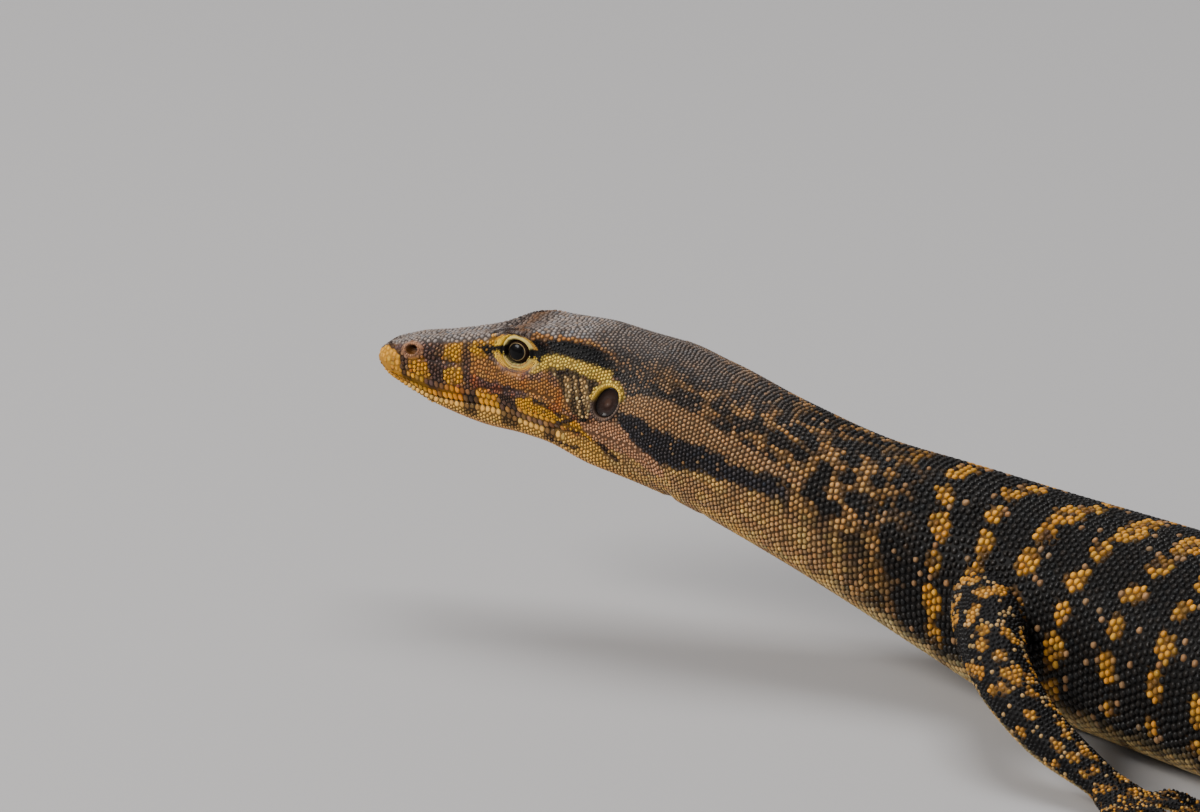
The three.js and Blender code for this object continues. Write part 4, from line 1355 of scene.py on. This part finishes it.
def lid_coats(tree, rng):
    """Rings of granules round eyes, nostrils and ears, and the brow's row, which lies as the snout does."""
    coats = []
    for side, _ in SIDES:
        for organ, (high, rings) in RINGS.items():
            coats += [ring_coat(tree, rng, side, organ, share, grain, high) for share, grain in rings]
        _, back, up, _ = ORGANS[side]["nostril"]
        x = np.arange(-11.5, 11.5, BROW_STEP)
        points = ORGANS[side]["eye"][0] + back * x[:, None] + up * (brow_line(x) + 0.35)[:, None]
        points = points + ORGANS[side]["ear"][3] * 2
        coats.append(spot_coat(tree, rng, side, "eye", points, back, 0.62, 0.4))
    return coats


def ring_coat(tree, rng, side, organ, share, grain, high):
    """One ring of granules round an opening."""
    long, tall = (share * rim for rim in RIMS[organ])
    count = int(round(pi * (long + tall) / (grain * 2)))
    turn = np.arange(count) / count * 2 * pi + grain
    centre, _, _, out = ORGANS[side][organ]
    back, up = organ_axes(side, organ)
    points = centre + back * (long * np.cos(turn))[:, None] + up * (tall * np.sin(turn))[:, None] + out * 1.5
    way = -back * np.sin(turn)[:, None] * long + up * np.cos(turn)[:, None] * tall
    return spot_coat(tree, rng, side, organ, points, unit(way), grain, high)


ORGAN_PLACES = {
    "eye": (EYE["station"], 0.28),
    "nostril": (NOSTRIL["station"], 0.26),
    "ear": (EAR["station"], 0.34),
}


def spot_coat(tree, rng, side, organ, points, back, grain, high):
    """Granules at given points near an organ, coloured as the skin there."""
    spot, normal, near = settled(tree, points, 6)
    centre, along_head, up, _ = ORGANS[side][organ]
    station, middle = ORGAN_PLACES[organ]
    s = station + (points - centre) @ along_head
    v = middle - (points - centre) @ up / half_girth(s)
    for _ in range(4):
        miss = base_point(s, side * v * pi) - spot
        s = s - miss @ along_head
        v = v + miss @ up / half_girth(s)
    angle, count = side * v * pi, len(points)
    coat = {
        "point": spot, "back": np.broadcast_to(back, (count, 3)), "out": normal,
        "size": np.broadcast_to((grain, grain, high), (count, 3)),
        "colour": varied(marks(s, angle, np.full(count, 0.5)), rng), "place": np.stack([s, angle], -1),
    }
    return kept(looked(coat, s, gap=0.03, lean=0.0), near)


ROW_SHARE = 0.86


def body_coats(tree, rng, first, last, pitch, height=0.3, **looks):
    """Rows of scales round the body, beads above and flat oblongs below."""
    stations = steps(first, last, pitch, ROW_SHARE)
    places = lattice(rng, stations, pitch, -1.0, 1.0, closed=True, wave=0.8, jitter=0.13)

    def size(s, angle):
        below = smooth(0.6, 0.75, np.abs(angle) / pi)
        return pitch(s) * 0.5, pitch(s) * 0.5, pitch(s) * height * (1 - 0.55 * below)

    return coat_of(tree, places, size, rng, **looks)


CREST_HEIGHT = straight((640, 0.72), (720, 1.8), (1200, 1.62), (1400, 0.45))


def crest_coat(tree, rng):
    """The two close rows of keeled scales along the tail's top."""
    stations = steps(640, 1392, 3.6)
    places = both_sides(np.stack([stations, 1.3 / half_girth(stations) * pi], -1))
    return coat_of(tree, places, sized((1.9, 1.5), CREST_HEIGHT), rng, keel=0.5, lean=0.7)


LEG_PITCHES = (2.1, 1.8, 1.5)


def leg_coats(tree, rng):
    """Scales on the legs, palms and digits."""
    coats = []
    for number, (_, _, leg) in enumerate(LEGS):
        start = 0.0
        for part, (path, radii, first, last) in enumerate(leg.parts()):
            t = np.linspace(first, last, 60)
            way = lengths_along(path(t))
            pitch = LEG_PITCHES[min(part, 2)]
            found = []
            for k, reach in enumerate(np.arange(0, way[-1], pitch * ROW_SHARE)):
                share = np.interp(reach, way, t)
                count = max(int(round(2 * pi * radii(np.array(share)).mean() / pitch)), 6)
                shift = rng.uniform(-0.12, 0.12, (2, count))
                angle = (np.arange(count) + 0.5 * (k % 2) + shift[0]) / count * 2 * pi - pi
                at = share + shift[1] * pitch * (last - first) / way[-1]
                found.append(np.stack([at, angle, np.full(count, reach)], -1))
            share, angle, reach = np.concatenate(found).T
            share = np.clip(share, first, last)
            at = tube_point(path, radii, share, angle)
            spot, out, near = settled(tree, at, 1.6)
            count = len(share)
            colour = leg_marks(reach + start, angle, number * 0.37, rng.random(count))
            coat = {
                "point": spot, "back": path_axes(path, share)[0], "out": out,
                "size": np.broadcast_to((pitch * 0.5, pitch * 0.5, pitch * 0.26), (count, 3)),
                "colour": varied(colour, rng), "place": np.zeros((count, 2)),
                "map": leg_uv(number, np.full(count, part), (share - first) / (last - first), angle),
            }
            coats.append(kept(looked(coat, share), near))
            if part < 2:
                start += way[-1]
    return joined(*coats)


# Materials.
class Signal:
    """A shader socket that takes part in arithmetic."""

    def __init__(self, tree, socket):
        self.tree, self.socket = tree, socket

    def _math(self, kind, first, second):
        node = self.tree.nodes.new("ShaderNodeMath")
        node.operation = kind
        for slot, value in zip(node.inputs, (first, second)):
            if isinstance(value, Signal):
                self.tree.links.new(value.socket, slot)
            else:
                slot.default_value = value
        return Signal(self.tree, node.outputs[0])

    def __add__(self, other):
        return self._math("ADD", self, other)

    def __radd__(self, other):
        return self._math("ADD", other, self)

    def __sub__(self, other):
        return self._math("SUBTRACT", self, other)

    def __rsub__(self, other):
        return self._math("SUBTRACT", other, self)

    def __mul__(self, other):
        return self._math("MULTIPLY", self, other)

    def __rmul__(self, other):
        return self._math("MULTIPLY", other, self)


class Finish:
    """A material's node tree, with its shader at hand."""

    def __init__(self, name, **constants):
        self.material = bpy.data.materials.new(name)
        self.material.use_nodes = True
        self.tree = self.material.node_tree
        self.shader = self.tree.nodes["Principled BSDF"]
        for socket, value in constants.items():
            self.shader.inputs[socket.replace("_", " ")].default_value = value

    def node(self, kind, settings=None, **inputs):
        """Adds a node: its settings first, then its sockets, by name."""
        node = self.tree.nodes.new("ShaderNode" + kind)
        for name, value in (settings or {}).items():
            setattr(node, name, value)
        for name, value in inputs.items():
            self.feed(node.inputs[name.replace("_", " ")], value)
        return node

    def feed(self, socket, value):
        if isinstance(value, Signal):
            self.tree.links.new(value.socket, socket)
        else:
            socket.default_value = value

    def out(self, node, name):
        return Signal(self.tree, node.outputs[name])

    def set(self, socket, value):
        self.feed(self.shader.inputs[socket], value)

    def here(self):
        return self.out(self.node("TexCoord"), "Object")

    def painted(self):
        return self.out(self.node("Attribute", {"attribute_name": MARKS}), "Color")

    def grain(self, scale, detail=3.0):
        return self.out(self.node("TexNoise", Vector=self.here(), Scale=scale, Detail=detail), "Fac")

    def toned(self, colour, share, shade):
        """A colour multiplied towards a shade, by a share."""
        mix = self.node("Mix", {"data_type": "RGBA", "blend_type": "MULTIPLY"})
        self.feed(mix.inputs[0], share)
        self.feed(mix.inputs[6], colour)
        self.feed(mix.inputs[7], (*shade, 1.0))
        return Signal(self.tree, mix.outputs[2])

    def stained(self, share, shade):
        """The painted marks, toned towards a shade."""
        self.set("Base Color", self.toned(self.painted(), share, shade))

    def bumped(self, height, distance, strength):
        bump = self.node("Bump", Height=height, Distance=distance, Strength=strength)
        self.set("Normal", self.out(bump, "Normal"))


def skin_material():
    finish = Finish("monitor skin", Specular_IOR_Level=0.12)
    cracks = finish.node("TexVoronoi", {"feature": "DISTANCE_TO_EDGE"}, Vector=finish.here(), Scale=900.0)
    folds = finish.out(cracks, "Distance")
    fine = finish.grain(2600.0)
    finish.stained(fine * 0.5, (0.7, 0.62, 0.56))
    finish.set("Roughness", 0.42 + 0.25 * fine)
    finish.bumped(folds * 0.7 + fine * 0.3, 0.0002, 0.6)
    return finish.material


def scale_material():
    finish = Finish("monitor scales", Specular_IOR_Level=0.1, Coat_Roughness=0.14)
    patch = finish.grain(120.0)
    fine = finish.grain(5200.0, 2.0)
    finish.stained(patch * 0.35, (0.62, 0.58, 0.55))
    finish.set("Roughness", 0.32 + 0.22 * fine)
    finish.set("Coat Weight", 0.3 * patch)
    finish.bumped(fine, 0.00006, 0.5)
    return finish.material


def eye_material():
    wet = {"Coat_Weight": 0.2, "Coat_Roughness": 0.02}
    finish = Finish("monitor eye", Roughness=0.4, Specular_IOR_Level=0.05, **wet)
    finish.stained(finish.grain(1800.0) * 0.5, (0.6, 0.5, 0.4))
    return finish.material


def drum_material():
    finish = Finish("monitor eardrum", Specular_IOR_Level=0.08, Coat_Weight=0.22, Coat_Roughness=0.05)
    fine = finish.grain(900.0)
    finish.stained(fine * 0.6, (0.5, 0.42, 0.4))
    finish.set("Roughness", 0.34 + 0.2 * fine)
    finish.bumped(fine, 0.0002, 0.5)
    return finish.material


def claw_material():
    finish = Finish("monitor claw", Coat_Weight=0.3)
    fine = finish.grain(700.0)
    finish.stained(fine * 0.5, (0.6, 0.55, 0.5))
    finish.set("Roughness", 0.25 + 0.2 * fine)
    finish.bumped(fine, 0.0001, 0.4)
    return finish.material


def floor_material():
    finish = Finish("studio floor", Roughness=0.8)
    pale = finish.node("RGB")
    pale.outputs[0].default_value = FLOOR_COLOUR
    patches = finish.grain(3.0) * 0.06
    finish.set("Base Color", finish.toned(finish.out(pale, "Color"), patches, (0.9, 0.9, 0.9)))
    return finish.material


# Eyes, eardrums and claws. The eye's and the eardrum's colours run outwards from the middle.
PUPIL, IRIS, WHITE, EYE_EDGE = paint(8, 7, 8), paint(206, 178, 128), paint(46, 31, 24), paint(20, 14, 12)
DRUM_MIDDLE, DRUM_SHEET, DRUM_EDGE = paint(78, 56, 46), paint(46, 30, 24), paint(26, 18, 16)
HORN, HORN_TIP = paint(36, 31, 30), paint(120, 100, 78)


def sphere_sheet(segments, rings):
    """A ball of radius 1 and the places of its vertices."""
    bm = bmesh.new()
    bmesh.ops.create_uvsphere(bm, u_segments=segments, v_segments=rings, radius=1)
    return bm, np.array([vert.co[:] for vert in bm.verts])


def painted_piece(name, bm, points, colours, uvs, material):
    """An object bent to these points, with a colour and a place on the map for each vertex."""
    set_points(bm, points)
    bmesh.ops.recalc_face_normals(bm, faces=bm.faces)
    bm.verts.index_update()
    loops = [loop.vert.index for face in bm.faces for loop in face.loops]
    thing = new_object(name, bm, material)
    set_corners(thing.data, colours[loops], uvs[loops])
    return thing


def eyeball(name, side, material):
    """The ball with its clear front, the pupil, and a thin pale ring of iris."""
    bm, ball = sphere_sheet(64, 120)
    centre, back, _, out = ORGANS[side]["eye"]
    off = np.degrees(np.arccos(np.clip(ball[:, 2], -1, 1)))
    radius = EYE["radius"] - 0.3 + 0.45 * smooth(42, 22, off)
    turn = np.arctan2(ball[:, 1], ball[:, 0])
    wide = np.radians(off * (1 + 0.15 * np.cos(turn) ** 2 * smooth(90, 40, off)))
    ball = np.stack([np.sin(wide) * np.cos(turn), np.sin(wide) * np.sin(turn), np.cos(wide)], -1)
    axes = np.stack([back, np.cross(out, back), out])
    points = centre - out * EYE["centre_in"] + (ball * radius[:, None]) @ axes
    ring = smooth(28.4, 29.2, off) * smooth(31.6, 30.8, off)
    colours = mixed(np.broadcast_to(PUPIL, (len(off), 3)), IRIS, ring)
    colours = mixed(colours, WHITE, smooth(31, 32.5, off))
    colours = mixed(colours, EYE_EDGE, smooth(38, 46, off))
    colours = colours * (0.85 + 0.25 * noise(turn * 9, off * 0.6, 3))[:, None]
    uvs = 0.5 + np.stack([np.cos(turn), np.sin(turn)], -1) * (off / 180 * 0.49)[:, None]
    return painted_piece(name, bm, points, colours, uvs, material)


def drum(name, side, material):
    """The eardrum, a thin oval sheet, a little hollow, at the bottom of the ear."""
    bm, p = sphere_sheet(40, 24)
    centre, _, _, out = ORGANS[side]["ear"]
    wide, tall = organ_axes(side, "ear")
    reach = np.hypot(p[:, 0], p[:, 1])
    front = p[:, 2] > 0
    hollow = 0.2 * p[:, 2] - 0.55 * (1 - reach**2) + 0.25 * bell(reach, 0.25, 0.2)
    high = np.where(front, hollow, 0.5 * p[:, 2])
    points = centre
    for axis, rim, across in ((tall, EAR["up"], p[:, 0]), (wide, EAR["along"], p[:, 1])):
        points = points + axis * (across * (rim - 0.45))[:, None]
    points = points + out * (high - 1.7)[:, None]
    colours = mixed(np.broadcast_to(DRUM_MIDDLE, (len(p), 3)), DRUM_SHEET, smooth(0.12, 0.4, reach))
    colours = mixed(colours, DRUM_EDGE, smooth(0.55, 1.0, reach))
    uvs = 0.5 + p[:, :2] * 0.23 + np.where(front, 0.24, -0.24)[:, None]
    return painted_piece(name, bm, points, colours, uvs, material)


def claw_piece(leg, number, digit, name, material):
    """One curved claw, its root inside the digit."""
    path, radii = leg.claw_path(*digit)
    bm = grid_sheet(np.linspace(-CLAW["rooted"], 1, 28), np.linspace(-pi, pi, 21))
    corners = corner_places(bm)
    set_points(bm, tube_point(path, radii, *sheet_places(bm)))
    t, angle = corners.T
    colours = mixed(np.broadcast_to(HORN, (len(t), 3)), HORN_TIP, smooth(0.55, 1, t))
    colours = colours * (0.85 + 0.3 * noise(angle * 3, t * 3, number))[:, None]
    share = (t + CLAW["rooted"]) / (1 + CLAW["rooted"])
    uvs = np.stack([0.02 + 0.96 * share, 0.5 + angle / (2 * pi) * 0.96], -1)
    mesh = mesh_of("claw", bm)
    set_corners(mesh, colours, uvs)
    bm = bmesh.new()
    bm.from_mesh(mesh)
    bpy.data.meshes.remove(mesh)
    close_up(bm, 0.002)
    return new_object(name, bm, material)


# Settings, operators and panel.
class SkinSettings(bpy.types.PropertyGroup):
    depth: FloatProperty(
        name="Depth under the scales",
        description="How far the skin lies inside the outline, for the scales' sake",
        default=0.45, min=0.0, max=2.0,
    )


class ScaleSettings(bpy.types.PropertyGroup):
    seed: IntProperty(name="Seed", description="Start of the random numbers that vary the scales", default=7)
    neck: FloatProperty(name="Neck pitch", description="Spacing behind the head, in mm", default=2.0)
    trunk: FloatProperty(name="Trunk pitch", description="Spacing on the back, in mm", default=3.1)
    tail: FloatProperty(name="Tail pitch", description="Spacing on the tail, in mm", default=2.9)


class StageSettings(bpy.types.PropertyGroup):
    azimuth: FloatProperty(
        name="Azimuth", description="Way the camera looks, from the animal's right",
        default=radians(34), subtype="ANGLE",
    )
    elevation: FloatProperty(
        name="Elevation", description="How far the camera looks down", default=radians(19), subtype="ANGLE"
    )
    distance: FloatProperty(
        name="Distance", description="From the camera to the snout", default=4.0, unit="LENGTH"
    )
    lens: FloatProperty(name="Lens", description="Focal length in mm on a 36 mm sensor", default=335.0)
    aside: FloatProperty(
        name="Aside", description="Picture's middle, right of the snout", default=0.0789, unit="LENGTH"
    )
    under: FloatProperty(
        name="Under", description="Picture's middle, under the snout", default=0.0193, unit="LENGTH"
    )


# Lights as name, place, power, size and colour; all look at one spot of the model.
LIGHTS = (
    ("key", (-1.9, -1.9, 1.9), 94.0, 1.3, (1.0, 0.98, 0.95)),
    ("top", (-0.9, 0.7, 2.8), 60.0, 1.6, (1.0, 1.0, 1.0)),
    ("fill", (1.8, -2.4, 1.2), 18.0, 1.6, (0.96, 0.98, 1.0)),
)
LIT_SPOT = (-0.4, 0, 0.05)
WORLD_COLOUR = (0.9, 0.93, 1.0, 1.0)
WORLD_STRENGTH = 0.2
FLOOR_COLOUR = (0.43, 0.418, 0.416, 1.0)
FLOOR_HALF = 6000


def flesh_nodes():
    names = ["head", "neck", "torso", "hips"] + [f"tail_{k}" for k in range(1, 6)]
    for plan in (FORELEG, HINDLEG):
        names += [f"{part}_{side}" for part in plan["names"] for _, side in SIDES]
    return names


def settle_piece(thing, slot, *nodes):
    """Fixes a piece to the body and hides the nodes that it stands for; its slot is not used."""
    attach(thing, "root")
    if nodes:
        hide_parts(*nodes)


class MONITOR_OT_skin(bpy.types.Operator):
    """Makes the one skin that head, neck, trunk, tail and legs share"""

    bl_idname = "monitor.skin"
    bl_label = "Make the skin"

    def execute(self, context):
        bm = skin_mesh(context.scene.monitor_skin.depth)
        thing = new_object("skin", bm, skin_material())
        settle_piece(thing, "skin", *flesh_nodes())
        return {"FINISHED"}


class MONITOR_OT_scales(bpy.types.Operator):
    """Covers the skin with scales, region by region"""

    bl_idname = "monitor.scales"
    bl_label = "Make the scales"

    def execute(self, context):
        settings = context.scene.monitor_scales
        rng = np.random.default_rng(settings.seed)
        tree = surface_tree(bpy.data.objects["skin"].data, MM)
        material = scale_material()
        neck, trunk, tail = settings.neck, settings.trunk, settings.tail
        neck_pitch = straight((112, neck * 0.7), (150, neck * 0.92), (200, neck * 1.25), (236, trunk))
        trunk_pitch = straight((236, trunk), (520, trunk), (600, tail))
        tail_pitch = straight((600, tail), (1400, tail * 0.75))
        head_coat = head_coats(tree, rng)
        neck_coat = body_coats(tree, rng, 114, 236, neck_pitch, round=0.6)
        trunk_coat = body_coats(tree, rng, 236, 600, trunk_pitch, round=0.5)
        crest = crest_coat(tree, rng)
        tail_coat = body_coats(tree, rng, 600, 1395, tail_pitch, height=0.24, keel=0.5, lean=0.3)
        coats = {
            "scales_head": spread_map(head_coat, 0, 116),
            "scales_neck": spread_map(neck_coat, 112, 238),
            "scales_trunk": spread_map(trunk_coat, 234, 602),
            "scales_tail": spread_map(joined(crest, tail_coat), 600, 1400),
            "scales_legs": leg_coats(tree, rng),
        }
        for k, coat in enumerate(coats.values()):
            coat["piece"] = np.full(len(coat["point"]), k)
        every = fitted(uncrowded(joined(*coats.values())))
        full = scale_shape(DIRECTIONS, ((0.24, 0.78), (0.38, 0.22)))
        light = scale_shape(DIRECTIONS, ((0.36, 1.0),))
        shapes = dict.fromkeys(coats, full) | {"scales_tail": light, "scales_legs": light}
        for k, name in enumerate(coats):
            for number, coat in enumerate(split(kept(every, every["piece"] == k), shapes[name]), 1):
                settle_piece(lay_scales(f"{name}_{number}", shapes[name], coat, material), "skin")
        return {"FINISHED"}


class MONITOR_OT_eyes(bpy.types.Operator):
    """Sets both eyeballs under their lids"""

    bl_idname = "monitor.eyes"
    bl_label = "Make the eyes"

    def execute(self, context):
        material = eye_material()
        for side, word in SIDES:
            settle_piece(eyeball(f"eyeball_{word}", side, material), "eye", f"eye_{word}")
        return {"FINISHED"}


class MONITOR_OT_eardrums(bpy.types.Operator):
    """Sets both eardrums in the ears"""

    bl_idname = "monitor.eardrums"
    bl_label = "Make the eardrums"

    def execute(self, context):
        material = drum_material()
        for side, word in SIDES:
            settle_piece(drum(f"drum_{word}", side, material), "eardrum", f"eardrum_{word}")
        return {"FINISHED"}


class MONITOR_OT_claws(bpy.types.Operator):
    """Puts a claw on every digit"""

    bl_idname = "monitor.claws"
    bl_label = "Make the claws"

    def execute(self, context):
        material = claw_material()
        for plan, side, leg in LEGS:
            word = dict(SIDES)[side]
            for k, digit in enumerate(plan["digits"], 1):
                name = f"{plan['names'][2]}_claw_{k}_{word}"
                settle_piece(claw_piece(leg, k, digit, "horn_" + name, material), "claw", name)
        return {"FINISHED"}


class MONITOR_OT_stage(bpy.types.Operator):
    """Sets up the floor, the light and the camera"""

    bl_idname = "monitor.stage"
    bl_label = "Make the stage"

    def execute(self, context):
        settings = context.scene.monitor_stage
        bm = bmesh.new()
        bmesh.ops.create_grid(bm, x_segments=4, y_segments=4, size=FLOOR_HALF)
        floor = new_object("floor", bm, floor_material())
        az, el = settings.azimuth, settings.elevation
        view = Vector((sin(az) * cos(el), -cos(az) * cos(el), sin(el)))
        right = Vector((cos(az), sin(az), 0))
        up = view.cross(right)
        tip = Vector(SNOUT) * MM
        aim = tip + right * settings.aside - up * settings.under
        camera = linked("camera", bpy.data.cameras.new("camera"))
        camera.data.lens = settings.lens
        camera.data.sensor_width = 36
        camera.data.clip_end = 100
        camera.location = aim + view * settings.distance
        camera.rotation_euler = view.to_track_quat("Z", "Y").to_euler()
        context.scene.camera = camera
        for name, where, power, size, colour in LIGHTS:
            lamp = linked(name, bpy.data.lights.new(name, "AREA"))
            lamp.data.energy, lamp.data.size, lamp.data.color = power, size, colour
            lamp.location = where
            lamp.rotation_euler = (Vector(where) - Vector(LIT_SPOT)).to_track_quat("Z", "Y").to_euler()
        world = bpy.data.worlds.new("studio")
        world.use_nodes = True
        background = world.node_tree.nodes["Background"]
        background.inputs["Color"].default_value = WORLD_COLOUR
        background.inputs["Strength"].default_value = WORLD_STRENGTH
        context.scene.world = world
        return {"FINISHED"}


class MONITOR_PT_panel(bpy.types.Panel):
    """Settings and buttons for every piece of the model"""

    bl_label = "Water monitor"
    bl_idname = "MONITOR_PT_panel"
    bl_space_type = "VIEW_3D"
    bl_region_type = "UI"
    bl_category = "Water monitor"

    def draw(self, context):
        for settings, names in PARTS:
            box = self.layout.box()
            if settings:
                group = getattr(context.scene, settings)
                for name in group.bl_rna.properties.keys():
                    if name not in ("rna_type", "name"):
                        box.prop(group, name)
            for name in names:
                box.operator("monitor." + name)


PARTS = (
    ("monitor_skin", ("skin",)), ("monitor_scales", ("scales",)), (None, ("eyes", "eardrums", "claws")),
    ("monitor_stage", ("stage",)),
)
GROUPS = {"monitor_skin": SkinSettings, "monitor_scales": ScaleSettings, "monitor_stage": StageSettings}
CLASSES = (
    SkinSettings, ScaleSettings, StageSettings, MONITOR_OT_skin, MONITOR_OT_scales, MONITOR_OT_eyes,
    MONITOR_OT_eardrums, MONITOR_OT_claws, MONITOR_OT_stage, MONITOR_PT_panel,
)


def register():
    for kind in CLASSES:
        bpy.utils.register_class(kind)
    for name, kind in GROUPS.items():
        setattr(bpy.types.Scene, name, PointerProperty(type=kind))


def unregister():
    for name in GROUPS:
        delattr(bpy.types.Scene, name)
    for kind in reversed(CLASSES):
        bpy.utils.unregister_class(kind)


def main():
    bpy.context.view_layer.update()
    register()
    for _, names in PARTS:
        for name in names:
            getattr(bpy.ops.monitor, name)()


if __name__ == "__main__":
    main()
